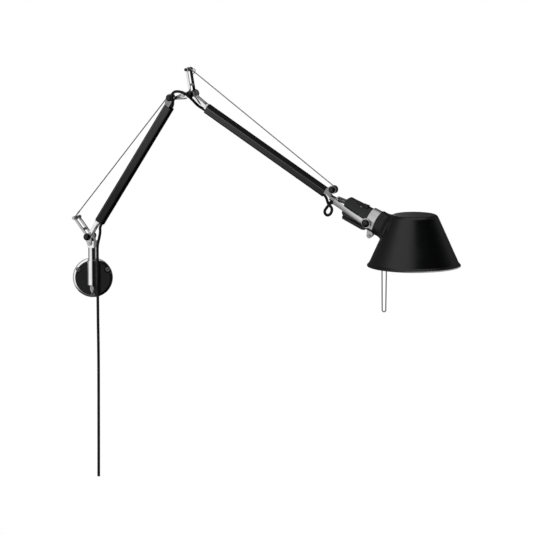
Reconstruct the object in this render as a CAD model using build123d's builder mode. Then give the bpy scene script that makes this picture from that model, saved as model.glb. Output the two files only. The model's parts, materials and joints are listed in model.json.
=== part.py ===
"""Articulating wall lamp: wall plate, swivel stem, two spring-balanced arms, tilting head and cone shade.

Millimetres, +Z up. The wall is the plane Y = 0 and the lamp stands out from it towards -Y. The origin is
the centre of the wall plate's back face. Both arms move in one upright plane, the arm plane, which turns
about the swivel axis. In that plane p runs outwards from the axis, q runs up and n points at the viewer.
"""

from build123d import *
from math import cos, pi, radians, sin, tan
import os

os.makedirs("parts", exist_ok=True)

# ---- wall plate and socket
plate_radius = 32.5
plate_thickness = 5.0
plate_bevel = 2.4
screw_circle_radius = 27.6
screw_count = 3
screw_hole_radius = 2.2
screw_head_radius = 3.6
screw_head_height = 2.2
screw_slot_width = 0.9
screw_slot_depth = 1.0
screw_shank_radius = 2.1
screw_thread_radius = 1.9
screw_thread_length = 10.8
notch_radius = 5.2
cover_radius = 28.6
cover_thickness = 3.6
cover_edge_radius = 0.7
socket_radius = 8.0
socket_length = 39.0
socket_middle = 10.4
socket_neck_width = 11.0
socket_neck_height = 30.0
socket_edge_radius = 1.0
swivel_offset = 22.0
collar_height = 2.4
collar_lip = 0.55
collar_edge_radius = 0.8

# ---- stem
stem_radius = 6.0
swivel_pin_radius = 4.6
bush_wall = 1.2
swing_at_rest = 25.0
running_gap = 0.05
free_gap = 0.3
head_block_half = 6.2
head_block_width = 12.4
head_block_top = 63.8
head_block_height = 11.0
head_block_overlap = 3.0
tongue_root_height = 4.0
tongue_root_inset = 0.5
stub_radius = 3.4
stub_length = 10.0
stub_tip_radius = 1.6
stub_tip_length = 3.4

# ---- joints of the arm plane, as (p, q)
base_pivot = (-3.6, 70.7)
elbow_pivot = (182.3, 310.0)
head_pivot = (429.2, 155.2)
lower_angle = 56.7
upper_angle = -30.7
head_angle = -23.0
head_roll = 15.0

# ---- layers of a pivot, counted from the arm plane
tongue_half = 3.2
leg_inner = 3.5
leg_outer = 6.0
cheek_inner = 6.3
cheek_outer = 8.8
pivot_eye_radius = 5.6
axle_radius = 2.5
knob_radius = 5.8
knob_length = 6.2
knob_edge = 1.2
washer_radius = 4.6

# ---- lever and mast that carry the fixed ends of the wires
crank_bar = 3.8
crank_eye_radius = 3.0
lever_length = 37.9
lever_angle = 129.3
lug_radius = 3.4
lever_lug_drop = 11.6
lever_lug_inset = 0.4
lever_pin_half = 12.0
mast_length = 39.5
mast_angle = 100.3
mast_lug_reach = 13.5
mast_lug_angle = 192.0
mast_pin_half = 10.6
wire_pin_radius = 1.5
pin_head_radius = 2.5
pin_head_length = 1.6
web_start = 13.0
web_length = 3.6
web_width = 3.0

# ---- arm tubes
tube_height = 16.6
tube_depth = 13.0
tube_corner = 5.6
tube_wall = 1.2
tube_groove_width = 1.1
tube_groove_depth = 0.5
tube_groove_height = 3.4
lower_tube_start = 30.8
lower_tube_drop = 1.7
upper_tube_start = 33.3
upper_tube_drop = 6.0
plug_length = 20.0
plug_gap = 0.1
plug_floor = 1.5
plug_proud = 3.5
wire_slot_half = 1.2
leg_width = 4.4
leg_foot_radius = 2.8
tube_screw_radius = 1.5
tube_screw_head_radius = 2.4
tube_screw_head = 1.4

# ---- pulleys, wires and springs
pulley_radius = 5.2
pulley_groove = 1.0
pulley_half = 1.9
pulley_axle_radius = 1.6
pulley_cheek_inner = 2.3
pulley_cheek_outer = 4.8
pulley_cheek_rim = 1.2
pulley_cap_radius = 5.1
pulley_cap_length = 4.6
wire_room = 1.6
neck_bar_radius = 1.5
neck_foot = (2.0, -5.0)
neck_low_tip = (-13.6, -7.6)
neck_high_tip = (-15.4, -0.2)
tongue_root_radius = 4.2
lower_pulley_centre = (274.0, 4.0)
upper_pulley_centre = (280.6, 5.2)
lower_pulley_lead = 13.6
upper_pulley_lead = 9.7
wire_radius = 0.65
wire_eye_radius = 2.6
spring_radius = 4.2
spring_wire = 1.1
spring_length = 120.0
spring_tail = 12.0
spring_rise = 1.2

# ---- head fork
fork_bridge_start = 1.2
fork_plate = 2.2
fork_hub_half = 6.6
fork_inner = 17.25
fork_splay_end = 57.0
fork_width = 8.5
fork_eye_radius = 5.2
tilt_reach = 67.5
fork_screw_radius = 2.4
fork_screw_head_radius = 4.0
fork_screw_head = 2.0
boss_radius = 4.6
web_rise = 1.5
web_radius = 2.5
web_boss_radius = 3.2
boss_back = 8.0
boss_floor = 1.5

# ---- lamp holder, ring and switch
holder_radius = 16.0
holder_start = 20.0
holder_bevel = 3.0
holder_side_gap = 0.8
nose_radius = 13.6
nose_length = 17.0
nose_wall = 1.6
ring_set_back = 1.5
ring_width = 14.0
ring_inner = 15.3
ring_outer = 18.3
ring_flat = 17.0
ring_slot = 1.6
ring_ear_half = 4.6
ring_ear_reach = 31.5
ring_ear_radius = 4.2
ring_ear_root = 2.0
ring_ear_trim = 1.0
ring_screw_radius = 1.5
ring_screw_head_radius = 2.8
ring_screw_head = 1.8
tilt_knob_radius = 6.2
tilt_knob_length = 3.6
tilt_stud_seat = 0.8
tilt_stud_radius = 2.5
cover_start = 22.5
cover_end_gap = 0.5
cover_depth = 21.5
cover_half_width = 9.0
cover_edge = 2.0
cover_lap = 1.0
cover_nose = (1.0, 3.0)
cover_slope = (8.0, 1.0)
cover_tail = (7.0, 2.5)
switch_start = 38.0
switch_length = 19.0
switch_half_width = 4.0
switch_gap = 0.5
switch_floor = 12.6
switch_bottom = 13.8
switch_low = 16.6
switch_high = 18.6
switch_pin_radius = 0.9
switch_pin_depth = 15.0
switch_pin_half = 7.0

# ---- shade
shade_set_back = 60.4
shade_drop = 38.2
shade_height = 79.8
shade_top_radius = 35.6
shade_shoulder = 7.0
shade_wall = 1.2
shade_cone_end_radius = 69.2
shade_flare_height = 5.4
shade_rim_radius = 72.7
shade_bead = 1.3
neck_radius = 19.7
neck_bore = 15.6
neck_tail_outer = 15.2
neck_tail_inner = 13.8
neck_tail_lap = 1.2
neck_band = 4.7
neck_flare_radius = 27.0
neck_flare_length = 16.2
neck_flare_middle = (0.6, 0.24)
neck_inner_reach = 33.4
bulb_socket_radius = 11.6
bulb_socket_inset = 4.0
bulb_socket_length = 30.0
bulb_screw_radius = 6.8
bulb_screw_floor = 12.0
bulb_screw_length = 20.0
bulb_neck_length = 10.0
bulb_neck_radius = 9.3
bulb_radius = 17.5
bulb_length = 76.0

# ---- pull loop below the shade
loop_wire_radius = 0.95
loop_spacing_top = 8.2
loop_spacing_bottom = 6.0
loop_inset = 50.0
loop_rise = 31.8
loop_drop = 76.0
loop_bend_radius = 2.85
clip_margin = 7.0
clip_height = 7.0
clip_half = 4.0

# ---- cords
cord_radius = 2.25
cord_offset = 4.4
gland_radius = 3.3
gland_angle = -135.0
gland_start = 2.6
gland_end = 9.5
gland_depth = -3.0
gland_back = 1.7
gland_place = -2.0
cord_mouth = 4.0
cord_lead = 7.0
cord_far_lead = 4.5
cord_gland_lead = 5.5
cord_foot_lead = 5.0
cord_elbow_bends = [(-30.3, -9.5, 11.0), (-30.5, -2.0, 13.4), (-25.3, 4.0, 14.4), (-13.8, 4.6, 16.0),
                    (-2.8, 1.5, 18.7), (6.4, -5.5, 17.7), (13.8, -17.0, 9.8)]
cord_head_bends = [(-9.4, -6.6, 5.6), (-1.9, -12.7, 5.5), (-5.2, -22.4, 4.0), (-13.7, -26.0, 1.0),
                   (-19.9, -19.9, -2.0), (-13.6, -11.2, -3.0)]
cord_drop_bends = [(20.1, 9.3, 2.0), (19.6, -0.2, 4.5), (17.2, -10.2, 5.5), (15.1, -19.2, 3.2)]
cord_side = 9.1
cord_front = -29.0
cord_drop_end = 41.2
cord_swivel_end = -14.0
cord_hang_sway = [(0.0, 0.0, -62.0), (0.5, -0.2, -114.0), (0.3, -0.1, -168.0), (-0.1, 0.2, -222.0),
                  (-0.4, 0.1, -274.0), (-0.8, 0.0, -324.0)]


# ---- frames
def turned(plane, x=0.0, y=0.0, z=0.0, angle=0.0):
    """A plane parallel to the given one, moved by its own x, y, z and turned about its normal."""
    direction = plane.x_dir.rotate(Axis((0, 0, 0), plane.z_dir), angle)
    return Plane(origin=plane.from_local_coords(Vector(x, y, z)), x_dir=direction, z_dir=plane.z_dir)


out = Vector(cos(radians(swing_at_rest)), -sin(radians(swing_at_rest)), 0)
front = Vector(-sin(radians(swing_at_rest)), -cos(radians(swing_at_rest)), 0)
arm = Plane(origin=(0, -swivel_offset, 0), x_dir=out, z_dir=front)
base = turned(arm, *base_pivot)
elbow = turned(arm, *elbow_pivot)
lower = turned(arm, *base_pivot, angle=lower_angle)
upper = turned(arm, *elbow_pivot, angle=upper_angle)
head = turned(arm, *head_pivot, angle=head_angle)
roll = radians(head_roll)
fork = Plane(
    origin=head.origin,
    x_dir=head.x_dir,
    z_dir=head.y_dir * -cos(roll) - head.z_dir * sin(roll),
)
fork_side = Plane(origin=fork.origin, x_dir=fork.x_dir, z_dir=fork.y_dir)


def polar(length, angle):
    """The point at a length and an angle, as (x, y)."""
    return (length * cos(radians(angle)), length * sin(radians(angle)))


def along(plane, start, z=0.0):
    """A plane square to the given plane's x axis, at a distance along it."""
    return Plane(origin=plane.from_local_coords(Vector(start, 0, z)), x_dir=plane.y_dir, z_dir=plane.x_dir)


def finish(part, label):
    """Labels a finished piece and writes it."""
    part.label = label
    export_step(part, f"parts/{label}.step")


# ---- wall plate: a bevelled disc with a notch at each screw
wall = Plane(origin=(0, 0, 0), x_dir=(1, 0, 0), z_dir=(0, -1, 0))
screw_turn = 30.0
socket_bottom = socket_middle - socket_length / 2
socket_top = socket_middle + socket_length / 2
cover_sink = cover_thickness / 2

with BuildPart() as wall_plate:
    with BuildSketch(wall):
        Circle(plate_radius)
    extrude(amount=plate_thickness)
    chamfer(wall_plate.edges().sort_by(Axis.Y)[0], length=plate_bevel)
    with BuildSketch(wall.offset(plate_thickness)):
        Circle(cover_radius + free_gap)
    extrude(amount=-cover_sink, mode=Mode.SUBTRACT)
    with BuildSketch(wall):
        with PolarLocations(screw_circle_radius, screw_count, start_angle=screw_turn):
            Circle(screw_hole_radius)
    extrude(amount=plate_thickness, mode=Mode.SUBTRACT)
    with BuildSketch(wall.offset(plate_thickness)):
        with PolarLocations(screw_circle_radius, screw_count, start_angle=screw_turn):
            Circle(screw_head_radius + plug_gap)
    extrude(amount=-cover_sink, mode=Mode.SUBTRACT)
finish(wall_plate.part, "wall_plate")

cover_seat = plate_thickness - cover_sink
with BuildPart() as cover_disc:
    with BuildSketch(wall.offset(cover_seat)):
        Circle(cover_radius)
        with PolarLocations(screw_circle_radius, screw_count, start_angle=screw_turn):
            Circle(notch_radius, mode=Mode.SUBTRACT)
        with Locations((0, socket_middle)):
            Rectangle(socket_neck_width + 2 * plug_gap, socket_neck_height + 2 * plug_gap,
                      mode=Mode.SUBTRACT)
    extrude(amount=cover_thickness)
    fillet(cover_disc.edges().group_by(Axis.Y)[0].filter_by(GeomType.CIRCLE).sort_by(SortBy.RADIUS)[-3:],
           radius=cover_edge_radius)
finish(cover_disc.part, "cover_disc")

with BuildPart() as wall_screws:
    with BuildSketch(wall.offset(cover_seat)):
        with PolarLocations(screw_circle_radius, screw_count, start_angle=screw_turn):
            Circle(screw_head_radius)
    extrude(amount=screw_head_height)
    with BuildSketch(wall.offset(cover_seat)):
        with PolarLocations(screw_circle_radius, screw_count, start_angle=screw_turn):
            Circle(screw_shank_radius)
    extrude(amount=-cover_seat)
    with BuildSketch(wall):
        with PolarLocations(screw_circle_radius, screw_count, start_angle=screw_turn):
            Circle(screw_thread_radius)
    extrude(amount=-screw_thread_length)
    with BuildSketch(wall.offset(cover_seat + screw_head_height)):
        with PolarLocations(screw_circle_radius, screw_count, start_angle=screw_turn):
            Rectangle(2 * screw_head_radius, screw_slot_width)
    extrude(amount=-screw_slot_depth, mode=Mode.SUBTRACT)
finish(wall_screws.part, "wall_screws")

# The socket stands on a neck that fills the cover's slot and seats on the plate.
socket_frame = Plane(origin=(0, -swivel_offset, socket_bottom), x_dir=(1, 0, 0), z_dir=(0, 0, 1))
with BuildPart() as pivot_socket:
    with BuildSketch(socket_frame):
        Circle(socket_radius)
    extrude(amount=socket_length)
    with BuildSketch(wall.offset(cover_seat)):
        with Locations((0, socket_middle)):
            Rectangle(socket_neck_width, socket_neck_height)
    extrude(amount=swivel_offset - cover_seat)
    with BuildSketch(socket_frame):
        Circle(swivel_pin_radius + running_gap + bush_wall)
    extrude(amount=socket_length, mode=Mode.SUBTRACT)
    fillet(pivot_socket.edges().filter_by(GeomType.CIRCLE).group_by(Axis.Z)[0].sort_by(SortBy.RADIUS)[-1],
           radius=socket_edge_radius)
finish(pivot_socket.part, "pivot_socket")

with BuildPart() as socket_bush:
    with BuildSketch(socket_frame):
        Circle(swivel_pin_radius + running_gap + bush_wall)
        Circle(swivel_pin_radius + running_gap, mode=Mode.SUBTRACT)
    extrude(amount=socket_length)
finish(socket_bush.part, "socket_bush")

with BuildPart() as socket_collar:
    with BuildSketch(socket_frame.offset(socket_length)):
        Circle(socket_radius - collar_lip)
        Circle(swivel_pin_radius + running_gap, mode=Mode.SUBTRACT)
    extrude(amount=collar_height)
    fillet(socket_collar.edges().group_by(Axis.Z)[-1].sort_by(SortBy.RADIUS)[-1],
           radius=collar_edge_radius)
finish(socket_collar.part, "socket_collar")

# ---- stem: a turned shaft with a flat tongue at the top and the swivel pin below
stem_bottom = socket_top + collar_height + running_gap
with BuildPart() as stem_shaft:
    with BuildSketch(socket_frame.offset(-running_gap)):
        Circle(swivel_pin_radius)
    extrude(amount=stem_bottom - socket_bottom + running_gap)
    with BuildSketch(Plane(origin=(0, -swivel_offset, stem_bottom), x_dir=out, z_dir=(0, 0, 1))):
        Circle(stem_radius)
    extrude(amount=head_block_top - head_block_height + head_block_overlap - stem_bottom)
    with BuildSketch(arm):
        with Locations((0, head_block_top - head_block_height / 2)):
            Rectangle(head_block_width, head_block_height)
    extrude(amount=head_block_half, both=True)
    with BuildSketch(arm):
        with Locations(base_pivot):
            Circle(pivot_eye_radius)
        with Locations((0, head_block_top - tongue_root_height / 2)):
            Rectangle(head_block_width - 2 * tongue_root_inset, tongue_root_height)
        make_hull()
    extrude(amount=tongue_half, both=True)
    with BuildSketch(base):
        Circle(axle_radius)
    extrude(amount=head_block_half, both=True, mode=Mode.SUBTRACT)
finish(stem_shaft.part, "stem_shaft")

with BuildPart() as retaining_nut:
    with BuildSketch(socket_frame.offset(-running_gap)):
        RegularPolygon(stub_radius, 12)
    extrude(amount=-stub_length)
    with BuildSketch(socket_frame.offset(-running_gap - stub_length)):
        Circle(stub_tip_radius)
    extrude(amount=-stub_tip_length)
finish(retaining_nut.part, "retaining_nut")


def crank(plane, pivot_lug, reach, slope):
    """The two cheeks of a lever: each runs from its lug over the pivot to its tip; a web joins them."""
    with BuildPart() as part:
        for side in (1, -1):
            with BuildSketch(plane.offset(side * cheek_inner)):
                with Locations((0, 0)):
                    Circle(pivot_eye_radius)
                with Locations(pivot_lug):
                    Circle(lug_radius)
                make_hull()
            extrude(amount=side * (cheek_outer - cheek_inner))
            with BuildSketch(turned(plane, angle=slope).offset(side * cheek_inner)):
                Rectangle(reach, crank_bar, align=(Align.MIN, Align.CENTER))
                with Locations((reach, 0)):
                    Circle(crank_eye_radius)
            extrude(amount=side * (cheek_outer - cheek_inner))
        with BuildSketch(turned(plane, angle=slope)):
            with Locations((web_start, 0)):
                Rectangle(web_length, web_width, align=(Align.MIN, Align.CENTER))
        extrude(amount=cheek_inner, both=True)
        with BuildSketch(plane):
            Circle(axle_radius)
            with Locations(polar(reach, slope)):
                Circle(wire_pin_radius)
            with Locations(pivot_lug):
                Circle(tube_screw_radius)
        extrude(amount=cheek_outer, both=True, mode=Mode.SUBTRACT)
    return part.part


lever_tip = polar(lever_length, lever_angle)
lever_lug = (-base_pivot[0] - lever_lug_inset, -lever_lug_drop)
finish(crank(base, lever_lug, lever_length, lever_angle), "base_lever")


def axle(plane, half, radius):
    """A plain round pin across the arm plane."""
    with BuildPart() as part:
        with BuildSketch(plane):
            Circle(radius)
        extrude(amount=half, both=True)
    return part.part


def headed_pin(plane, half, radius):
    """A pin with a button head at each end, that holds a wire's eye."""
    with BuildPart() as part:
        with BuildSketch(plane):
            Circle(radius)
        extrude(amount=half, both=True)
        for side in (1, -1):
            with BuildSketch(plane.offset(side * (half - pin_head_length))):
                Circle(pin_head_radius)
            extrude(amount=side * pin_head_length)
    return part.part


def knob_pair(plane, start, radius, length, bore, depth):
    """Two round cap knobs, one on each end of an axle."""
    with BuildPart() as part:
        for side in (1, -1):
            with BuildSketch(plane.offset(side * start)):
                Circle(radius)
            extrude(amount=side * length)
        chamfer(part.edges().filter_by(GeomType.CIRCLE), length=min(knob_edge, length / 4))
        for side in (1, -1):
            with BuildSketch(plane.offset(side * start)):
                Circle(bore)
            extrude(amount=side * depth, mode=Mode.SUBTRACT)
    return part.part


def washer_set(plane, bore):
    """The four thin washers of a pivot, in the gaps between its layers."""
    with BuildPart() as part:
        for inner, outer in ((tongue_half, leg_inner), (leg_outer, cheek_inner)):
            for side in (1, -1):
                with BuildSketch(plane.offset(side * inner)):
                    Circle(washer_radius)
                    Circle(bore, mode=Mode.SUBTRACT)
                extrude(amount=side * (outer - inner))
    return part.part


def pivot_fittings(plane, name):
    """Axle, washers and the pair of knobs of one friction pivot."""
    half = cheek_outer + knob_length / 2
    finish(axle(plane, half, axle_radius), f"{name}_axle")
    finish(washer_set(plane, axle_radius), f"{name}_washers")
    knobs = knob_pair(plane, cheek_outer, knob_radius, knob_length, axle_radius, half - cheek_outer)
    finish(knobs, f"{name}_knobs")


pivot_fittings(base, "base")
finish(headed_pin(turned(base, *lever_tip), lever_pin_half, wire_pin_radius), "lever_pin")


def lug_screws(plane):
    """Two screws that hold a crank's lugs to the block between them."""
    with BuildPart() as part:
        for side in (1, -1):
            with BuildSketch(plane.offset(side * head_block_half)):
                Circle(tube_screw_radius)
            extrude(amount=side * (cheek_outer - head_block_half))
            with BuildSketch(plane.offset(side * cheek_outer)):
                Circle(tube_screw_head_radius)
            extrude(amount=side * tube_screw_head)
    return part.part


finish(lug_screws(turned(base, *lever_lug)), "lever_screws")


# ---- arm tubes: a rounded extrusion with a groove along each face
lower_tube_end = lower_pulley_centre[0] - lower_pulley_lead
upper_tube_end = upper_pulley_centre[0] - upper_pulley_lead


def arm_tube(plane, start, end, drop):
    with BuildPart() as part:
        section = turned(plane, 0, -drop)
        with BuildSketch(along(section, start)):
            RectangleRounded(tube_height, tube_depth, tube_corner)
            RectangleRounded(tube_height - 2 * tube_wall, tube_depth - 2 * tube_wall,
                             tube_corner - tube_wall, mode=Mode.SUBTRACT)
            for side in (1, -1):
                with Locations((tube_groove_height, side * tube_depth / 2)):
                    Rectangle(tube_groove_width, 2 * tube_groove_depth, mode=Mode.SUBTRACT)
        extrude(amount=end - start)
    return part.part


finish(arm_tube(lower, lower_tube_start, lower_tube_end, lower_tube_drop), "lower_tube")
finish(arm_tube(upper, upper_tube_start, upper_tube_end, upper_tube_drop), "upper_tube")

plug_top = tube_height / 2 - tube_wall - plug_gap
plug_half = tube_depth / 2 - tube_wall - plug_gap


def plug(plane, start, drop):
    """The block that fills the upper part of a tube's end; the cord passes below it."""
    with BuildPart() as part:
        with BuildSketch(along(turned(plane, 0, -drop), start)):
            RectangleRounded(2 * plug_top, 2 * plug_half, tube_corner - tube_wall - plug_gap)
            with Locations((-plug_floor - plug_top, 0)):
                Rectangle(2 * plug_top, 2 * plug_half, mode=Mode.SUBTRACT)
        extrude(amount=plug_length)
    return part.part


def root_fork(plane, tube_start, drop):
    """The forked foot of an arm: an eye and a leg on each side, joined by the plug in the tube."""
    leg_end = tube_start - plug_proud
    with BuildPart() as part:
        for side in (1, -1):
            with BuildSketch(plane.offset(side * leg_inner)):
                Circle(pivot_eye_radius)
            extrude(amount=side * (leg_outer - leg_inner))
            with BuildSketch(plane.offset(side * leg_inner)):
                with Locations((0, 0)):
                    Circle(leg_width / 2)
                with Locations((leg_end, (plug_top - plug_floor) / 2 - drop)):
                    Circle(leg_foot_radius)
                make_hull()
            extrude(amount=side * (leg_outer - leg_inner))
        add(plug(plane, leg_end, drop))
        with BuildSketch(plane):
            Circle(axle_radius + running_gap)
        extrude(amount=leg_outer, both=True, mode=Mode.SUBTRACT)
    return part.part


finish(root_fork(lower, lower_tube_start, lower_tube_drop), "lower_root_fork")
finish(root_fork(upper, upper_tube_start, upper_tube_drop), "upper_root_fork")

wire_wrap = pulley_radius - pulley_groove + wire_radius


def pulley_head(plane, centre, tube_end, drop):
    """The two cheeks round a pulley at a tube's end, with their plug in the tube and the wire's slot."""
    with BuildPart() as part:
        add(plug(plane, tube_end - plug_length + plug_proud, drop))
        cheek_foot = plug_top + plug_floor
        for side in (1, -1):
            with BuildSketch(plane.offset(side * pulley_cheek_inner)):
                with Locations(centre):
                    Circle(pulley_radius + pulley_cheek_rim)
                with Locations((tube_end + plug_proud / 2, (plug_top - plug_floor) / 2 - drop)):
                    Rectangle(plug_proud - 2 * plug_gap, cheek_foot)
                make_hull()
            extrude(amount=side * (pulley_cheek_outer - pulley_cheek_inner))
        slot_top = centre[1] - wire_wrap + wire_slot_half
        with BuildSketch(plane):
            with Locations((tube_end + plug_proud - plug_length / 2, slot_top)):
                Rectangle(plug_length, 2 * plug_top, align=(Align.CENTER, Align.MAX))
        extrude(amount=wire_slot_half, both=True, mode=Mode.SUBTRACT)
        with BuildSketch(turned(plane, *centre)):
            Circle(pulley_radius + free_gap)
        extrude(amount=pulley_cheek_inner, both=True, mode=Mode.SUBTRACT)
        with BuildSketch(turned(plane, *centre)):
            Circle(pulley_axle_radius)
        extrude(amount=pulley_cheek_outer, both=True, mode=Mode.SUBTRACT)
    return part.part


# ---- elbow casting: pulley head, neck block and the tongue of the elbow pivot
mast_lug = polar(mast_lug_reach, mast_lug_angle)
with BuildPart() as elbow_casting:
    add(pulley_head(lower, lower_pulley_centre, lower_tube_end, lower_tube_drop))
    for tip in (neck_low_tip, neck_high_tip):
        tip_in_lower = lower.to_local_coords(elbow.from_local_coords(Vector(*tip, 0)))
        with BuildSketch(lower):
            with Locations((lower_pulley_centre[0] + neck_foot[0], lower_pulley_centre[1] + neck_foot[1])):
                Circle(neck_bar_radius)
            with Locations((tip_in_lower.X, tip_in_lower.Y)):
                Circle(neck_bar_radius)
            make_hull()
        extrude(amount=pulley_cheek_outer, both=True)
    with BuildSketch(turned(elbow, *mast_lug)):
        Circle(lug_radius)
    extrude(amount=head_block_half, both=True)
    with BuildSketch(elbow):
        Circle(pivot_eye_radius)
        with Locations(mast_lug):
            Circle(tongue_root_radius)
        make_hull()
    extrude(amount=tongue_half, both=True)
    for side in (1, -1):
        with BuildSketch(elbow.offset(side * tongue_half)):
            Circle(pivot_eye_radius + free_gap)
        extrude(amount=side * (head_block_half - tongue_half), mode=Mode.SUBTRACT)
    with BuildSketch(turned(lower, *lower_pulley_centre)):
        Circle(pulley_radius + wire_room)
    extrude(amount=pulley_cheek_inner, both=True, mode=Mode.SUBTRACT)
    with BuildSketch(elbow):
        Circle(axle_radius)
    extrude(amount=head_block_half, both=True, mode=Mode.SUBTRACT)
finish(elbow_casting.part, "elbow_casting")

mast_tip = polar(mast_length, mast_angle)
finish(crank(elbow, mast_lug, mast_length, mast_angle), "mast")
pivot_fittings(elbow, "elbow")
finish(headed_pin(turned(elbow, *mast_tip), mast_pin_half, wire_pin_radius), "mast_pin")
finish(lug_screws(turned(elbow, *mast_lug)), "mast_screws")


# ---- pulleys, wires and springs
def pulley(plane):
    """A grooved wheel that turns on its axle."""
    with BuildPart() as part:
        with BuildSketch(plane):
            Circle(pulley_radius - pulley_groove)
        extrude(amount=pulley_half, both=True)
        for side in (1, -1):
            with BuildSketch(plane.offset(side * wire_slot_half)):
                Circle(pulley_radius)
            extrude(amount=side * (pulley_half - wire_slot_half))
        with BuildSketch(plane):
            Circle(pulley_axle_radius + running_gap)
        extrude(amount=pulley_half, both=True, mode=Mode.SUBTRACT)
    return part.part


def touching(centre, radius, other, other_radius):
    """Where the tangent line on the left of the way from one circle to another meets both of them."""
    way = Vector(*other, 0) - Vector(*centre, 0)
    share = (radius - other_radius) / way.length
    side = way.normalized() * share + Vector(-way.Y, way.X, 0).normalized() * (1 - share**2) ** 0.5
    return Vector(*centre, 0) + side * radius, Vector(*other, 0) + side * other_radius


def flat(point):
    """A vector of the plane as an (x, y) pair."""
    return (point.X, point.Y)


def balance_wire(plane, pin, centre, spring_end):
    """A wire with an eye round its pin, over the pulley and back into the tube to the spring."""
    start, first = touching(pin, wire_eye_radius, centre, wire_wrap)
    second, _ = touching(centre, wire_wrap, spring_end, 0.0)
    hub = Vector(*centre, 0)
    middle = hub + ((first - hub) + (second - hub)).normalized() * wire_wrap
    if (middle - Vector(*pin, 0)).length < (hub - Vector(*pin, 0)).length:
        middle = hub * 2 - middle
    with BuildPart() as part:
        with BuildLine(plane) as path:
            Line(flat(start), flat(first))
            ThreePointArc(flat(first), flat(middle), flat(second))
            Line(flat(second), spring_end)
        with BuildSketch(Plane(origin=path.line @ 0, z_dir=path.line % 0)):
            Circle(wire_radius)
        sweep(path=path.line)
        with Locations(turned(plane, *pin).location):
            Torus(wire_eye_radius, wire_radius)
    return part.part


def balance_spring(plane, start, end, rod_start):
    """A closed-coil extension spring as a sleeve with end discs, and its rod to the root plug."""
    with BuildPart() as part:
        with BuildSketch(along(plane, start)):
            Circle(spring_radius)
        extrude(amount=end - start)
        with BuildSketch(along(plane, start + spring_wire)):
            Circle(spring_radius - spring_wire)
        extrude(amount=end - start - 2 * spring_wire, mode=Mode.SUBTRACT)
        with BuildSketch(along(plane, rod_start)):
            Circle(spring_wire)
        extrude(amount=start - rod_start)
    return part.part


def arm_works(name, plane, pin, centre, tube_start, tube_end, drop):
    """Pulley, its axle and caps, wire and spring of one arm."""
    spot = turned(plane, *centre)
    finish(pulley(spot), f"{name}_pulley")
    half = pulley_cheek_outer + pulley_cap_length / 2
    finish(axle(spot, half, pulley_axle_radius), f"{name}_pulley_axle")
    caps = knob_pair(spot, pulley_cheek_outer, pulley_cap_radius, pulley_cap_length, pulley_axle_radius,
                     pulley_cap_length / 2)
    finish(caps, f"{name}_pulley_caps")
    spring_line = spring_rise - drop
    spring_end = tube_end - plug_length - spring_tail
    finish(balance_wire(plane, pin, centre, (spring_end, spring_line)), f"{name}_wire")
    rod_start = tube_start - plug_proud + plug_length
    finish(balance_spring(turned(plane, 0, spring_line), spring_end - spring_length, spring_end, rod_start),
           f"{name}_spring")


lower_pin = polar(lever_length, lever_angle - lower_angle)
upper_pin = polar(mast_length, mast_angle - upper_angle)
arm_works("lower", lower, lower_pin, lower_pulley_centre, lower_tube_start, lower_tube_end, lower_tube_drop)
arm_works("upper", upper, upper_pin, upper_pulley_centre, upper_tube_start, upper_tube_end, upper_tube_drop)


# ---- end casting: pulley head, neck and the boss of the head swivel
boss_in_upper = upper.to_local_coords(head.from_local_coords(Vector(-boss_back / 2, 0, 0)))
with BuildPart() as end_casting:
    add(pulley_head(upper, upper_pulley_centre, upper_tube_end, upper_tube_drop))
    with BuildSketch(upper):
        with Locations((upper_tube_end + plug_proud, web_rise - upper_tube_drop)):
            Circle(web_radius)
        with Locations((boss_in_upper.X, boss_in_upper.Y)):
            Circle(web_boss_radius)
        make_hull()
    extrude(amount=pulley_cheek_inner, both=True)
    with BuildSketch(along(head, -boss_back)):
        Circle(boss_radius)
    extrude(amount=boss_back)
    with BuildSketch(turned(upper, *upper_pulley_centre)):
        Circle(pulley_radius + free_gap)
    extrude(amount=pulley_cheek_inner, both=True, mode=Mode.SUBTRACT)
    with BuildSketch(along(head, boss_floor - boss_back)):
        Circle(fork_screw_radius)
    extrude(amount=boss_back, mode=Mode.SUBTRACT)
finish(end_casting.part, "end_casting")

bridge_front = fork_bridge_start + fork_plate
with BuildPart() as fork_screw:
    with BuildSketch(along(head, boss_floor - boss_back)):
        Circle(fork_screw_radius)
    extrude(amount=boss_back - boss_floor + bridge_front)
    with BuildSketch(along(head, bridge_front + running_gap)):
        Circle(fork_screw_head_radius)
    extrude(amount=fork_screw_head)
    with BuildSketch(along(head, bridge_front)):
        Circle(fork_screw_radius)
    extrude(amount=fork_screw_head)
finish(fork_screw.part, "fork_screw")

with BuildPart() as fork_washer:
    with BuildSketch(along(head, 0)):
        Circle(boss_radius)
        Circle(fork_screw_radius, mode=Mode.SUBTRACT)
    extrude(amount=fork_bridge_start - running_gap)
finish(fork_washer.part, "fork_washer")

gland_frame = turned(head, gland_place, 0, gland_depth, gland_angle - head_angle)
with BuildPart() as cord_gland:
    with BuildSketch(along(gland_frame, gland_start)):
        Circle(gland_radius)
    extrude(amount=gland_end - gland_start)
    add(end_casting.part, mode=Mode.SUBTRACT)
    split(bisect_by=along(gland_frame, gland_back), keep=Keep.TOP)
finish(cord_gland.part.solids().sort_by(SortBy.VOLUME)[-1], "cord_gland")

# ---- head fork: a splayed U of flat bar
hub_inner = fork_hub_half - fork_plate / 2


def fork_gap(reach):
    """Half the clear width between the fork's legs at a distance along it."""
    share = (reach - bridge_front) / (fork_splay_end - bridge_front)
    return hub_inner + (fork_inner - hub_inner) * min(max(share, 0.0), 1.0)


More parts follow.
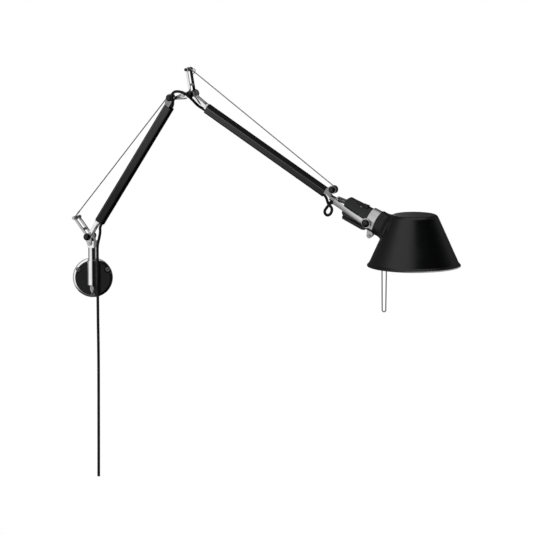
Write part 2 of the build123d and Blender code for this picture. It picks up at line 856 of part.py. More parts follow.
fork_end = tilt_reach + fork_eye_radius
with BuildPart() as head_fork:
    with BuildSketch(fork):
        with BuildLine():
            half = [(fork_bridge_start, fork_hub_half + fork_plate / 2),
                    (fork_splay_end, fork_inner + fork_plate),
                    (fork_end, fork_inner + fork_plate),
                    (fork_end, fork_inner),
                    (fork_splay_end, fork_inner),
                    (bridge_front, hub_inner)]
            Polyline(*half, *[(x, -y) for x, y in reversed(half)], close=True)
        make_face()
    extrude(amount=fork_eye_radius, both=True)
    with BuildSketch(fork_side):
        with Locations((tilt_reach / 2, 0)):
            Rectangle(tilt_reach, fork_width)
        with Locations((tilt_reach, 0)):
            Circle(fork_eye_radius)
    extrude(amount=fork_inner + 2 * fork_plate, both=True, mode=Mode.INTERSECT)
    with BuildSketch(along(fork, 0)):
        Circle(fork_screw_radius + running_gap)
    extrude(amount=bridge_front + free_gap, mode=Mode.SUBTRACT)
    with BuildSketch(turned(fork_side, tilt_reach)):
        Circle(tilt_stud_radius + running_gap)
    extrude(amount=fork_inner + fork_plate, both=True, mode=Mode.SUBTRACT)
finish(head_fork.part, "head_fork")

# ---- lamp holder: a round body with flats that follow the fork, and a nose for the ring
ring_start = tilt_reach - ring_set_back
ring_end = ring_start + ring_width
body_end = ring_start - free_gap
nose_end = ring_end + nose_length
bulb_socket_start = ring_start + bulb_socket_inset
bulb_socket_end = bulb_socket_start + bulb_socket_length
with BuildPart() as lamp_holder:
    with BuildSketch(along(fork, holder_start)):
        Circle(holder_radius)
    extrude(amount=body_end - holder_start)
    chamfer(lamp_holder.edges().filter_by(GeomType.CIRCLE).sort_by(Axis(fork.origin, fork.x_dir))[0],
            length=holder_bevel)
    with BuildSketch(along(fork, body_end)):
        Circle(nose_radius)
    extrude(amount=nose_end - body_end)
    with BuildSketch(along(fork, bulb_socket_start)):
        Circle(nose_radius - nose_wall)
    extrude(amount=nose_end - bulb_socket_start, mode=Mode.SUBTRACT)
    with BuildSketch(fork):
        with BuildLine():
            sides = [(reach, fork_gap(reach) - holder_side_gap)
                    for reach in (holder_start - free_gap, fork_splay_end, nose_end + free_gap)]
            Polyline(*sides, *[(x, -y) for x, y in reversed(sides)], close=True)
        make_face()
    extrude(amount=2 * holder_radius, both=True, mode=Mode.INTERSECT)
    with BuildSketch(fork_side):
        with Locations((switch_start + switch_length / 2, switch_floor)):
            Rectangle(switch_length + 2 * switch_gap, holder_radius,
                      align=(Align.CENTER, Align.MIN))
    extrude(amount=switch_half_width + switch_gap, both=True, mode=Mode.SUBTRACT)
    with BuildSketch(turned(fork_side, switch_start + switch_length / 2, switch_pin_depth)):
        Circle(switch_pin_radius)
    extrude(amount=switch_pin_half, both=True, mode=Mode.SUBTRACT)
finish(lamp_holder.part, "lamp_holder")

switch_middle = switch_start + switch_length / 2
with BuildPart() as rocker_switch:
    with BuildSketch(fork_side):
        with BuildLine():
            Polyline((switch_start, switch_bottom), (switch_start + switch_length, switch_bottom),
                     (switch_start + switch_length, switch_high), (switch_middle, switch_low),
                     (switch_start, switch_low), close=True)
        make_face()
    extrude(amount=switch_half_width, both=True)
    with BuildSketch(turned(fork_side, switch_middle, switch_pin_depth)):
        Circle(switch_pin_radius + running_gap)
    extrude(amount=switch_half_width, both=True, mode=Mode.SUBTRACT)
finish(rocker_switch.part, "rocker_switch")
finish(axle(turned(fork_side, switch_middle, switch_pin_depth), switch_pin_half, switch_pin_radius),
       "switch_pin")

cover_end = body_end - cover_end_gap
with BuildPart() as terminal_cover:
    with BuildSketch(fork_side):
        with BuildLine():
            Polyline((cover_start, cover_lap - holder_radius),
                     (cover_start + cover_nose[0], -holder_radius - cover_nose[1]),
                     (cover_start + cover_slope[0], cover_slope[1] - cover_depth),
                     (cover_end - cover_tail[0], -cover_depth),
                     (cover_end, -holder_radius - cover_tail[1]),
                     (cover_end, cover_lap - holder_radius), close=True)
        make_face()
    extrude(amount=cover_half_width, both=True)
    fillet(terminal_cover.edges().filter_by(Axis(fork.origin, fork.x_dir), tolerance=12), radius=cover_edge)
    with BuildSketch(fork):
        with BuildLine():
            Polyline(*sides, *[(x, -y) for x, y in reversed(sides)], close=True)
        make_face()
    extrude(amount=2 * cover_depth, both=True, mode=Mode.INTERSECT)
    with BuildSketch(along(fork, holder_start)):
        Circle(holder_radius)
    extrude(amount=body_end - holder_start, mode=Mode.SUBTRACT)
finish(terminal_cover.part, "terminal_cover")

# ---- collar ring: a split clamp with two ears below and a flat for each tilt stud
ear_place = (ring_start + ring_width / 2, ring_ear_radius - ring_ear_reach)
with BuildPart() as collar_ring:
    with BuildSketch(along(fork, ring_start)):
        Circle(ring_outer)
    extrude(amount=ring_width)
    with BuildSketch(fork_side):
        with Locations((ring_start + ring_width / 2, -ring_inner)):
            Rectangle(ring_width - ring_ear_trim, ring_ear_root)
        with Locations(ear_place):
            Circle(ring_ear_radius)
        make_hull()
    extrude(amount=ring_ear_half, both=True)
    with BuildSketch(along(fork, ring_start)):
        Circle(ring_inner)
        with Locations((0, ring_outer)):
            Rectangle(ring_slot, 2 * ring_outer)
        for side in (1, -1):
            with Locations((side * ring_flat, 0)):
                Rectangle(ring_outer, 2 * ring_outer,
                          align=(Align.MIN if side > 0 else Align.MAX, Align.CENTER))
    extrude(amount=ring_width, mode=Mode.SUBTRACT)
    with BuildSketch(turned(fork_side, *ear_place)):
        Circle(ring_screw_radius)
    with BuildSketch(turned(fork_side, tilt_reach)):
        Circle(tilt_stud_radius)
    extrude(amount=ring_outer, both=True, mode=Mode.SUBTRACT)
finish(collar_ring.part, "collar_ring")

with BuildPart() as collar_screw:
    with BuildSketch(turned(fork_side, *ear_place)):
        Circle(ring_screw_radius)
    extrude(amount=ring_ear_half, both=True)
    with BuildSketch(turned(fork_side, *ear_place, ring_ear_half)):
        Circle(ring_screw_head_radius)
    extrude(amount=ring_screw_head)
    with BuildSketch(turned(fork_side, *ear_place, -ring_ear_half)):
        RegularPolygon(ring_screw_head_radius, 6)
    extrude(amount=-ring_screw_head)
finish(collar_screw.part, "collar_screw")

stud_end = fork_inner + fork_plate + tilt_knob_length / 2
with BuildPart() as tilt_studs:
    for side in (1, -1):
        with BuildSketch(turned(fork_side, tilt_reach, 0, side * (ring_flat - tilt_stud_seat))):
            Circle(tilt_stud_radius)
        extrude(amount=side * (stud_end - ring_flat + tilt_stud_seat))
finish(tilt_studs.part, "tilt_studs")
tilt_knob_seat = fork_inner + fork_plate + running_gap
finish(knob_pair(turned(fork_side, tilt_reach), tilt_knob_seat, tilt_knob_radius, tilt_knob_length,
                 tilt_stud_radius, stud_end - tilt_knob_seat), "tilt_knobs")

# ---- bulb socket and bulb
bulb_start = bulb_socket_start + bulb_screw_floor
bulb_screw_end = bulb_start + bulb_screw_length
bulb_neck_end = bulb_screw_end + bulb_neck_length
bulb_end = bulb_start + bulb_length
bulb_ball = bulb_end - bulb_radius
with BuildPart() as bulb_socket:
    with BuildSketch(along(fork, bulb_socket_start)):
        Circle(bulb_socket_radius)
    extrude(amount=bulb_socket_end - bulb_socket_start)
    with BuildSketch(along(fork, bulb_start)):
        Circle(bulb_screw_radius + free_gap)
    extrude(amount=bulb_socket_end - bulb_socket_start, mode=Mode.SUBTRACT)
finish(bulb_socket.part, "bulb_socket")

with BuildPart() as bulb:
    with BuildSketch(fork):
        with BuildLine():
            Polyline((bulb_ball, 0), (bulb_start, 0), (bulb_start, bulb_screw_radius),
                     (bulb_screw_end, bulb_screw_radius), (bulb_neck_end, bulb_neck_radius),
                     (bulb_ball, bulb_radius))
            ThreePointArc((bulb_ball, bulb_radius),
                          (bulb_ball + bulb_radius * sin(radians(45)), bulb_radius * cos(radians(45))),
                          (bulb_end, 0))
            Line((bulb_end, 0), (bulb_ball, 0))
        make_face()
    revolve(axis=Axis(fork.origin, fork.x_dir))
finish(bulb.part, "bulb")

# ---- shade: a truncated cone with a rounded shoulder and a flared, beaded rim
neck_start = ring_end + free_gap
neck_flare_start = neck_start + neck_band
neck_end = neck_flare_start + shade_set_back - neck_inner_reach
shade_place = along(fork, neck_flare_start + shade_set_back).origin - Vector(0, 0, shade_drop)
shade_plane = Plane(origin=shade_place, x_dir=(1, 0, 0), z_dir=(0, -1, 0))
shade_axis = Axis(shade_place, (0, 0, 1))


def cone_solid(inset):
    """The shade's outer form, or its cavity when the inset is the wall."""
    with BuildPart() as part:
        with BuildSketch(shade_plane):
            with BuildLine():
                Polyline((0, 0), (shade_rim_radius - inset, 0), (shade_rim_radius - inset, shade_bead),
                         (shade_cone_end_radius - inset, shade_flare_height),
                         (shade_top_radius - inset, shade_height - inset), (0, shade_height - inset),
                         close=True)
            make_face()
        revolve(axis=shade_axis)
        fillet(part.edges().group_by(Axis.Z)[-1], radius=shade_shoulder - inset)
    return part.part


shade_form = cone_solid(0.0)
shade_cavity = cone_solid(shade_wall)
with BuildPart() as shade:
    add(shade_form)
    add(shade_cavity, mode=Mode.SUBTRACT)
    with BuildSketch(along(fork, neck_start)):
        Circle(neck_bore)
    extrude(amount=neck_end - neck_start, mode=Mode.SUBTRACT)
finish(shade.part, "shade")

neck_tail_start = ring_start + neck_tail_lap
with BuildPart() as shade_neck:
    with BuildSketch(fork):
        with BuildLine():
            Polyline((neck_tail_start, neck_tail_inner), (neck_tail_start, neck_tail_outer),
                     (neck_start, neck_tail_outer), (neck_start, neck_radius),
                     (neck_flare_start, neck_radius))
            ThreePointArc((neck_flare_start, neck_radius),
                          (neck_flare_start + neck_flare_length * neck_flare_middle[0],
                           neck_radius + (neck_flare_radius - neck_radius) * neck_flare_middle[1]),
                          (neck_flare_start + neck_flare_length, neck_flare_radius))
            Polyline((neck_flare_start + neck_flare_length, neck_flare_radius),
                     (neck_end, neck_flare_radius), (neck_end, neck_tail_inner),
                     (neck_tail_start, neck_tail_inner))
        make_face()
    revolve(axis=Axis(fork.origin, fork.x_dir))
    add(shade_form, mode=Mode.SUBTRACT)
finish(shade_neck.part.solids().sort_by(SortBy.VOLUME)[-1], "shade_neck")

# ---- pull loop: a long hairpin of wire on a clip inside the shade
loop_frame = turned(Plane(origin=shade_place, x_dir=out, z_dir=front), -loop_inset)
half_top = loop_spacing_top / 2
half_bottom = loop_spacing_bottom / 2
with BuildPart() as pull_loop:
    with BuildLine(loop_frame) as path:
        FilletPolyline((-half_top, loop_rise), (-half_bottom, -loop_drop), (half_bottom, -loop_drop),
                       (half_top, loop_rise), radius=loop_bend_radius)
    with BuildSketch(Plane(origin=path.line @ 0, z_dir=path.line % 0)):
        Circle(loop_wire_radius)
    sweep(path=path.line)
finish(pull_loop.part, "pull_loop")

with BuildPart() as loop_clip:
    with BuildSketch(turned(loop_frame, 0, loop_rise)):
        Rectangle(loop_spacing_top + 2 * clip_margin, clip_height, align=(Align.CENTER, Align.MIN))
    extrude(amount=clip_half, both=True)
    add(shade_cavity, mode=Mode.INTERSECT)
finish(loop_clip.part, "loop_clip")


# ---- cords: the free stretches between the tubes and past the joints
def cord(points, label):
    """A round cord along straight runs, with each corner as wide as its two runs allow."""
    radii = []
    for before, corner, after in zip(points, points[1:], points[2:]):
        first = corner - before
        second = after - corner
        half_turn = radians(first.get_angle(second)) / 2
        radii.append(0.45 * min(first.length, second.length) / tan(half_turn))
    with BuildPart() as part:
        with BuildLine() as path:
            if radii:
                FilletPolyline(*points, radius=radii)
            else:
                Line(*points)
        with BuildSketch(Plane(origin=path.line @ 0, z_dir=path.line % 0)):
            Circle(cord_radius)
        sweep(path=path.line)
    length = path.wires()[0].length
    section = pi * cord_radius**2
    print(label, "length", round(length, 1), "volume ratio", round(part.part.volume / section / length, 4),
          "radii", [round(radius, 1) for radius in radii])
    finish(part.part, label)


def beside(pivot, bends):
    """Route points of the arm plane, given from a pivot."""
    return [arm.from_local_coords(Vector(pivot[0] + p, pivot[1] + q, n)) for p, q, n in bends]


lower_cord_line = -lower_tube_drop - cord_offset
upper_cord_line = -upper_tube_drop - cord_offset
lower_mouth = [lower.from_local_coords(Vector(x, lower_cord_line, 0))
               for x in (lower_tube_start + cord_mouth, lower_tube_start - cord_lead)]
lower_far_mouth = [lower.from_local_coords(Vector(x, lower_cord_line, 0))
                   for x in (lower_tube_end - cord_mouth, lower_tube_end + cord_lead)]
upper_mouth = [upper.from_local_coords(Vector(x, upper_cord_line, 0))
               for x in (upper_tube_start - cord_lead, upper_tube_start + cord_mouth)]
upper_far_mouth = [upper.from_local_coords(Vector(x, upper_cord_line, 0))
                   for x in (upper_tube_end - cord_mouth, upper_tube_end + cord_far_lead)]
gland_mouth = [gland_frame.from_local_coords(Vector(x, 0, 0))
               for x in (gland_end + cord_gland_lead, gland_end)]

cord([*upper_far_mouth, *beside(head_pivot, cord_head_bends), *gland_mouth], "cord_head")
cord([*lower_far_mouth, *beside(elbow_pivot, cord_elbow_bends), *upper_mouth], "cord_elbow")
drop_foot = [Vector(cord_side, cord_front, cord_drop_end + lift) for lift in (cord_foot_lead, 0.0)]
cord([*lower_mouth, *beside(base_pivot, cord_drop_bends), *drop_foot], "cord_drop")
hang_start = Vector(cord_side, cord_front, cord_swivel_end)
cord([drop_foot[-1], hang_start], "cord_swivel")
hanging = [Vector(cord_side + x, cord_front + y, z) for x, y, z in cord_hang_sway]
cord([hang_start, *hanging], "cord_hanging")
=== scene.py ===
"""Dresses the articulating wall lamp: finishes for its metal, enamel, mouldings and cord, and formed pieces.

Metres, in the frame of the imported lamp: the wall is Y = 0, the lamp stands out towards -Y and Z is up.
"""

import bpy
import json
import math
from mathutils import Matrix, Vector
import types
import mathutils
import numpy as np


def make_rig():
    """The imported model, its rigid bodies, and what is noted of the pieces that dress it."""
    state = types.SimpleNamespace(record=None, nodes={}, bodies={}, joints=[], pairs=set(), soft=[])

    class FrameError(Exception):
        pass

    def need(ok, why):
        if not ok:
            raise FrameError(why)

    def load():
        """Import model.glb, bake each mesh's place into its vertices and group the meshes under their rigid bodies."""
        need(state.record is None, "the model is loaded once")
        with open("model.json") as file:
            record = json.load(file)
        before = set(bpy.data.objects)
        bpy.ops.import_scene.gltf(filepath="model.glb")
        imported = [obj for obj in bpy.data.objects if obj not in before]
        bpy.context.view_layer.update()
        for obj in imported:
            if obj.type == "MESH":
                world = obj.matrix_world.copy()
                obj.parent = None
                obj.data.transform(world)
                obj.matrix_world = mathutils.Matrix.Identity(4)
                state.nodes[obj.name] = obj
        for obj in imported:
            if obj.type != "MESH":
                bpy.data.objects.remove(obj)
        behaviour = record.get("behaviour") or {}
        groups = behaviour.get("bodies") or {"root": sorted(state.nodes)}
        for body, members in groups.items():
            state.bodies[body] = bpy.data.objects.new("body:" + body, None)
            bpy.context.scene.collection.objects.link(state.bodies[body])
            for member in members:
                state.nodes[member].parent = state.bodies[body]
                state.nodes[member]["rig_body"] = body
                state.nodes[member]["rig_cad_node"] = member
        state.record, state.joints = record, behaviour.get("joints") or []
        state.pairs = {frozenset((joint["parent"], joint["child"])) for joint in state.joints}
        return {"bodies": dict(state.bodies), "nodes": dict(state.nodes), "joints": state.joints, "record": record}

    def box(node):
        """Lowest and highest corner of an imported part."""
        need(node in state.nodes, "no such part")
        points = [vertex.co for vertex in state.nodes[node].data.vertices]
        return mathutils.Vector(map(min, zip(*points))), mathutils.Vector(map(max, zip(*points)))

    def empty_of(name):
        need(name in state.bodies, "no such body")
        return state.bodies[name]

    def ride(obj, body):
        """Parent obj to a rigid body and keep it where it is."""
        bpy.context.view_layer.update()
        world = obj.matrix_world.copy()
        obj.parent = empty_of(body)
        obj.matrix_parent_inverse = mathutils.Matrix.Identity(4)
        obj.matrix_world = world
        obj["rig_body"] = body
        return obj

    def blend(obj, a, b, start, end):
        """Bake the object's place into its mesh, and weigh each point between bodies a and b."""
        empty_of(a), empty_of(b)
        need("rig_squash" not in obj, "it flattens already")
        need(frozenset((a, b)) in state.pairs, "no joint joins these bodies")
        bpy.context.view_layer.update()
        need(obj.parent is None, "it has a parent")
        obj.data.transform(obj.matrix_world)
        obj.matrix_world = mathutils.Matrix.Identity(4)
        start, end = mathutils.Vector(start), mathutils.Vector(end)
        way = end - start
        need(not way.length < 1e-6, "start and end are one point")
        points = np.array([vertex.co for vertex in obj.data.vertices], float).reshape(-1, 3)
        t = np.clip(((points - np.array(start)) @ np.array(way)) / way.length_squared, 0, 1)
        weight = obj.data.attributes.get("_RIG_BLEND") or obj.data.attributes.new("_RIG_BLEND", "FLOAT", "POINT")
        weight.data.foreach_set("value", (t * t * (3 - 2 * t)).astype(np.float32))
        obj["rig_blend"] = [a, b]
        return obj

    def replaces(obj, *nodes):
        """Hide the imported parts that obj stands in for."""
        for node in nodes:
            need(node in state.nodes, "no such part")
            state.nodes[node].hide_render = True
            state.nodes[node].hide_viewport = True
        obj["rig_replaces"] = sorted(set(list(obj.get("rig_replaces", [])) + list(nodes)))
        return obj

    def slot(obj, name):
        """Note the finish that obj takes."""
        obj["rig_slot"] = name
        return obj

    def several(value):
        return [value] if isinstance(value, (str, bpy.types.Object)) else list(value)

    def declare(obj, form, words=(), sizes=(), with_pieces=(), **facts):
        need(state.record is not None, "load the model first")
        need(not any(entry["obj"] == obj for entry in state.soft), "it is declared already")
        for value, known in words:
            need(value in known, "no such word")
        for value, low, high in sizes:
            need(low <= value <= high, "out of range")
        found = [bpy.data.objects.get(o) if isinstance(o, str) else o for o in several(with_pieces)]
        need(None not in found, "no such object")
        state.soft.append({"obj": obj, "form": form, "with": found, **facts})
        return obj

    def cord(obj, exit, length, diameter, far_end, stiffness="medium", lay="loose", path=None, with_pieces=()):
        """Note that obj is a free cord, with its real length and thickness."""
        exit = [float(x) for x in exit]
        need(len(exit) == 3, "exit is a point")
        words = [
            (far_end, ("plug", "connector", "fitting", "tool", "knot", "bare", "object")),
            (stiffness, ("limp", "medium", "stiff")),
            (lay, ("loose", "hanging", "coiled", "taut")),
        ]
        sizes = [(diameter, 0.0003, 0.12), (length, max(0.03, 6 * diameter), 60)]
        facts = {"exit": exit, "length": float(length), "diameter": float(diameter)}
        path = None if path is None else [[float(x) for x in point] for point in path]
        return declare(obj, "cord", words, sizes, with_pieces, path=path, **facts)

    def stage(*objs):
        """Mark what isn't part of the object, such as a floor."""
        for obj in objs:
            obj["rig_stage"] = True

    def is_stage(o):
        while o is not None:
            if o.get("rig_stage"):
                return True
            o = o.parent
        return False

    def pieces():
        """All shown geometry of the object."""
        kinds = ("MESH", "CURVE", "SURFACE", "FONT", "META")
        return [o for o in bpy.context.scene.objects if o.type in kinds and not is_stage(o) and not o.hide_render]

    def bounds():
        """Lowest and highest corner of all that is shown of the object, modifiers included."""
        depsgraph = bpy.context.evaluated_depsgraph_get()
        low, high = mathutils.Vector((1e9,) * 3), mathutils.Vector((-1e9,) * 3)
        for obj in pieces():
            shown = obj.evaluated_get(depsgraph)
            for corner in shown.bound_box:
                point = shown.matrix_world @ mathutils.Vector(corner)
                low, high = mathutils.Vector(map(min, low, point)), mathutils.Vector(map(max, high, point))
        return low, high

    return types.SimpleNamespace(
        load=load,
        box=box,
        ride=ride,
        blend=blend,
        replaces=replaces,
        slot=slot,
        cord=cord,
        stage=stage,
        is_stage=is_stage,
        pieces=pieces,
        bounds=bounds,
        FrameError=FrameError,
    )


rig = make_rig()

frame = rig.load()
cad_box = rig.bounds()

# ---- sizes of the lamp at rest, in millimetres and degrees
MM = 0.001
SWIVEL_OFF_WALL = 22
ARM_TURN = 25
SHOULDER = (-3.6, 70.7)
ELBOW = (182.3, 310.0)
HEAD = (429.2, 155.2)
LOWER_SLOPE = 56.7
UPPER_SLOPE = -30.7
HEAD_SLOPE = -23
FORK_ROLL = 15
TILT_REACH = 67.5
FORK_INSIDE = 17.25
FORK_OUTSIDE = 19.5
BULB_SEAT = 82
LOWER_WHEEL = (274.0, 4.0)
UPPER_WHEEL = (280.6, 5.2)
LEVER_LENGTH, LEVER_ANGLE = 37.9, 129.3
MAST_LENGTH, MAST_ANGLE = 39.5, 100.3
LEG_OUTSIDE = 6.0
CHEEK_OUTSIDE = 8.8
WHEEL_CHEEK_OUTSIDE = 4.8
COVER_RADIUS = 28.7
LOWER_TUBE_DROP = 1.7
UPPER_TUBE_DROP = 6.0
CORD = 2.25


# ---- places: the arm plane holds both arms and turns about the swivel's axis
def turn(angle):
    """The cosine and sine of an angle in degrees."""
    return math.cos(math.radians(angle)), math.sin(math.radians(angle))


OUT = Vector((turn(ARM_TURN)[0], -turn(ARM_TURN)[1], 0))
FRONT = Vector((-turn(ARM_TURN)[1], -turn(ARM_TURN)[0], 0))
UP = Vector((0, 0, 1))


def arm_point(p, q, n):
    """A point of the arm plane: p outwards, q up and n towards the viewer, in millimetres."""
    return (Vector((0, -SWIVEL_OFF_WALL, 0)) + OUT * p + UP * q + FRONT * n) * MM


def arm_frame(p, q, angle):
    """A function that gives points from a pivot, with x turned by an angle in the arm plane."""
    cosine, sine = turn(angle)
    return lambda x, y, n=0.0: arm_point(p + x * cosine - y * sine, q + x * sine + y * cosine, n)


base_at = arm_frame(*SHOULDER, 0)
elbow_at = arm_frame(*ELBOW, 0)
lower_at = arm_frame(*SHOULDER, LOWER_SLOPE)
upper_at = arm_frame(*ELBOW, UPPER_SLOPE)
head_at = arm_frame(*HEAD, HEAD_SLOPE)
HEAD_AXIS = (head_at(1, 0) - head_at(0, 0)).normalized()
head_up = (head_at(0, 1) - head_at(0, 0)).normalized()
fork_down = (-head_up * turn(FORK_ROLL)[0] - FRONT * turn(FORK_ROLL)[1]).normalized()
FORK_SIDE = fork_down.cross(HEAD_AXIS)


def fork_at(reach):
    """A point on the head's axis, at a reach from its hinge in millimetres."""
    return head_at(0, 0) + HEAD_AXIS * reach * MM


def facing(place, axis, across=None):
    """The matrix that puts a piece made upright at the origin at a place, with its top along an axis."""
    top = axis.normalized()
    side = (across or (UP if abs(top.z) < 0.9 else OUT)).cross(top).normalized()
    return Matrix.Translation(place) @ Matrix((side, top.cross(side), top)).transposed().to_4x4()


def body_of(node):
    """The body that a node rides on."""
    return frame["nodes"][node]["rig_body"]


# ---- nodes: sockets that can be used in plain arithmetic
class Tone:
    """A number or colour that varies from point to point."""

    def __init__(self, net, socket):
        self.net = net
        self.socket = socket

    def worked(self, operation, first, second):
        """The result of a Math node on two values or tones."""
        return self.net.node("ShaderNodeMath", {0: first, 1: second}, operation=operation)

    def __add__(self, other):
        return self.worked("ADD", self, other)

    __radd__ = __add__

    def __mul__(self, other):
        return self.worked("MULTIPLY", self, other)

    __rmul__ = __mul__

    def __sub__(self, other):
        return self.worked("SUBTRACT", self, other)

    def __rsub__(self, other):
        return self.worked("SUBTRACT", other, self)

    def __gt__(self, other):
        return self.worked("GREATER_THAN", self, other)

    def __lt__(self, other):
        return self.worked("LESS_THAN", self, other)

    def larger(self, other):
        return self.worked("MAXIMUM", self, other)


class Net:
    """The nodes of a material or of the world."""

    def __init__(self, tree):
        self.tree = tree

    def node(self, kind, feeds=(), output=0, stops=(), **settings):
        """Adds a node, with its settings and a ramp's stops first, then the values or links of its sockets."""
        made = self.tree.nodes.new(kind)
        for name, value in settings.items():
            setattr(made, name, value)
        for number, (place, level) in enumerate(stops):
            elements = made.color_ramp.elements
            stop = elements[number] if number < 2 else elements.new(1)
            stop.position = place
            stop.color = (level, level, level, 1)
        for name, value in dict(feeds).items():
            self.feed(made.inputs[name], value)
        return Tone(self, made.outputs[output]) if made.outputs else None

    def feed(self, socket, value):
        """Links a tone to a socket, or sets the socket's own value."""
        if isinstance(value, Tone):
            self.tree.links.new(value.socket, socket)
        else:
            socket.default_value = value

    def spread(self, mask, low, high, least=0.0, most=1.0):
        """Stretches the part of a mask between two levels to the whole of 0 to 1, or of least to most."""
        return self.node("ShaderNodeMapRange", {"Value": mask, "From Min": low, "From Max": high,
                                                "To Min": least, "To Max": most})

    def apart(self, vector, axis):
        """One of a vector's three parts: X, Y or Z."""
        return self.node("ShaderNodeSeparateXYZ", {"Vector": vector}, output=axis)

    def dot(self, first, second):
        """The dot product of two vectors."""
        return self.node("ShaderNodeVectorMath", {0: first, 1: second}, output=1, operation="DOT_PRODUCT")


class Finish(Net):
    """A surface finish: its pattern comes from the piece's own place, and its shader is set by name."""

    def __init__(self, name, **steady):
        self.material = bpy.data.materials.new(name)
        self.material.use_nodes = True
        super().__init__(self.material.node_tree)
        self.shader = self.tree.nodes["Principled BSDF"]
        self.place = self.node("ShaderNodeTexCoord", output="Object")
        for name, value in steady.items():
            self.set(name, value)

    def set(self, name, value):
        """Sets a socket of the shader: metallic becomes Metallic and base_color becomes Base Color."""
        self.feed(self.shader.inputs[name.replace("_", " ").title().replace("Ior", "IOR")], value)

    def noise(self, scale, detail, stretch=(1, 1, 1)):
        """A soft noise from 0 to 1, with its grains stretched along the axes."""
        place = self.node("ShaderNodeMapping", {"Vector": self.place, "Scale": stretch})
        return self.node("ShaderNodeTexNoise", {"Vector": place, "Scale": scale, "Detail": detail,
                                                "Roughness": 0.55})

    def between(self, mask, low, high, blend="MIX"):
        """A colour between two colours, or with ADD the second laid over the first."""
        low, high = (colour if isinstance(colour, Tone) else (*colour, 1) for colour in (low, high))
        return self.node("ShaderNodeMix", {"Factor": mask, 6: low, 7: high}, output=2, data_type="RGBA",
                         blend_type=blend)

    def turned_to(self, direction):
        """How far the surface faces a direction of the lamp at rest, from -1 to 1."""
        return self.dot(self.node("ShaderNodeTexCoord", output="Normal"), direction)

    def along(self, direction):
        """How far a point lies along a direction, in metres."""
        return self.dot(self.place, direction)

    def relief(self, height, distance, strength):
        """A fine relief in the surface, its depth in metres."""
        self.set("normal", self.node("ShaderNodeBump", {"Height": height, "Distance": distance,
                                                        "Strength": strength}))


def grey(level):
    """A neutral metal's colour, with a trace of blue."""
    return (level, level, level * 1.01)


def plated(name, level, roughness):
    """Bright plating, with faint handling marks that dull it in places."""
    finish = Finish(name, metallic=1.0)
    marks = finish.spread(finish.noise(85, 4), 0.42, 0.7)
    fine = finish.noise(900, 2)
    finish.set("base_color", finish.between(marks, grey(level), grey(level * 0.86)))
    finish.set("roughness", marks * 0.07 + fine * 0.03 + roughness)
    finish.relief(fine, 0.00001, 0.25)
    return finish.material


def brushed(name, level, roughness, stretch):
    """Metal with a fine grain along one way, worn a little smoother at random."""
    finish = Finish(name, metallic=1.0, anisotropic=0.35)
    grain = finish.noise(520, 4, stretch)
    cloud = finish.spread(finish.noise(60, 3), 0.38, 0.66)
    finish.set("base_color", finish.between(grain, grey(level * 0.8), grey(level * 1.06)))
    finish.set("roughness", grain * 0.14 + cloud * 0.08 + roughness)
    finish.relief(grain, 0.00002, 0.4)
    return finish.material


def enamel(name, colour, roughness, coat):
    """Stoved enamel with a slight orange peel and a trace of dust in its gloss."""
    finish = Finish(name, specular_ior_level=0.3, coat_weight=coat, coat_roughness=0.12)
    peel = finish.noise(700, 2)
    dust = finish.spread(finish.noise(38, 5), 0.5, 0.78)
    specks = finish.spread(finish.noise(2600, 1), 0.7, 0.76)
    pale = tuple(min(1, part * 1.7 + 0.006) for part in colour)
    finish.set("base_color", finish.between(dust * 0.35 + specks * 0.25, colour, pale))
    finish.set("roughness", dust * 0.1 + peel * 0.05 + roughness)
    finish.relief(peel, 0.00004, 0.35)
    return finish.material


def moulded(name, colour, roughness):
    """A moulding with a spark-eroded grain, rubbed a little shinier where it is handled."""
    finish = Finish(name, specular_ior_level=0.35)
    grain = finish.noise(1500, 3)
    rub = finish.spread(finish.noise(70, 3), 0.45, 0.72)
    pale = tuple(part * 1.5 + 0.004 for part in colour)
    finish.set("base_color", finish.between(grain * 0.5 + rub * 0.3, colour, pale))
    finish.set("roughness", grain * 0.1 - rub * 0.08 + roughness)
    finish.relief(grain, 0.00006, 0.5)
    return finish.material


def sheathed(name):
    """The cord's smooth round sheath, with faint cross marks from its drawing and a little bloom."""
    finish = Finish(name, specular_ior_level=0.12)
    marks = finish.noise(1100, 2, (1, 1, 0.25))
    bloom = finish.spread(finish.noise(45, 4), 0.45, 0.75)
    finish.set("base_color", finish.between(bloom, (0.008, 0.008, 0.008), (0.02, 0.02, 0.021)))
    finish.set("roughness", bloom * 0.1 + marks * 0.03 + 0.42)
    finish.relief(marks, 0.000004, 0.2)
    return finish.material


# The painted highlight on the shade's lip, in metres: how far above the rim it ends and is full, and over how
# much to each side of the middle it comes in.
LIP_TOP, LIP_FULL, LIP_FADE = 0.0022, 0.0014, 0.02


def lined(name, colour, lining, roughness, middle, bottom):
    """Stoved enamel outside, with a painted highlight along the lip's right half, and a pale lining inside.

    The inside is where the surface faces the middle.
    """
    finish = Finish(name, specular_ior_level=0.42)
    from_middle = finish.node("ShaderNodeVectorMath", {0: finish.place, 1: middle}, operation="SUBTRACT")
    inside = finish.turned_to(from_middle) < 0.0
    peel = finish.noise(800, 2)
    dust = finish.spread(finish.noise(34, 5), 0.52, 0.8)
    pale = tuple(part * 1.5 + 0.003 for part in colour)
    outer = finish.between(dust * 0.3, colour, pale)
    # Painted highlight: the lip's right half is made pale, where light glints off it.
    lip = finish.spread(finish.apart(finish.place, "Z"), bottom + LIP_TOP, bottom + LIP_FULL)
    lip = lip * finish.spread(finish.apart(finish.place, "X"), middle[0] - LIP_FADE, middle[0] + LIP_FADE)
    painted_lip_glint = finish.between(lip, (0, 0, 0), (0.9, 0.9, 0.9))
    outer = finish.between(1.0, outer, painted_lip_glint, "ADD")
    finish.set("base_color", finish.between(inside, outer, lining))
    finish.set("roughness", dust * 0.08 + peel * 0.05 + roughness)
    finish.relief(peel, 0.00003, 0.3)
    return finish.material


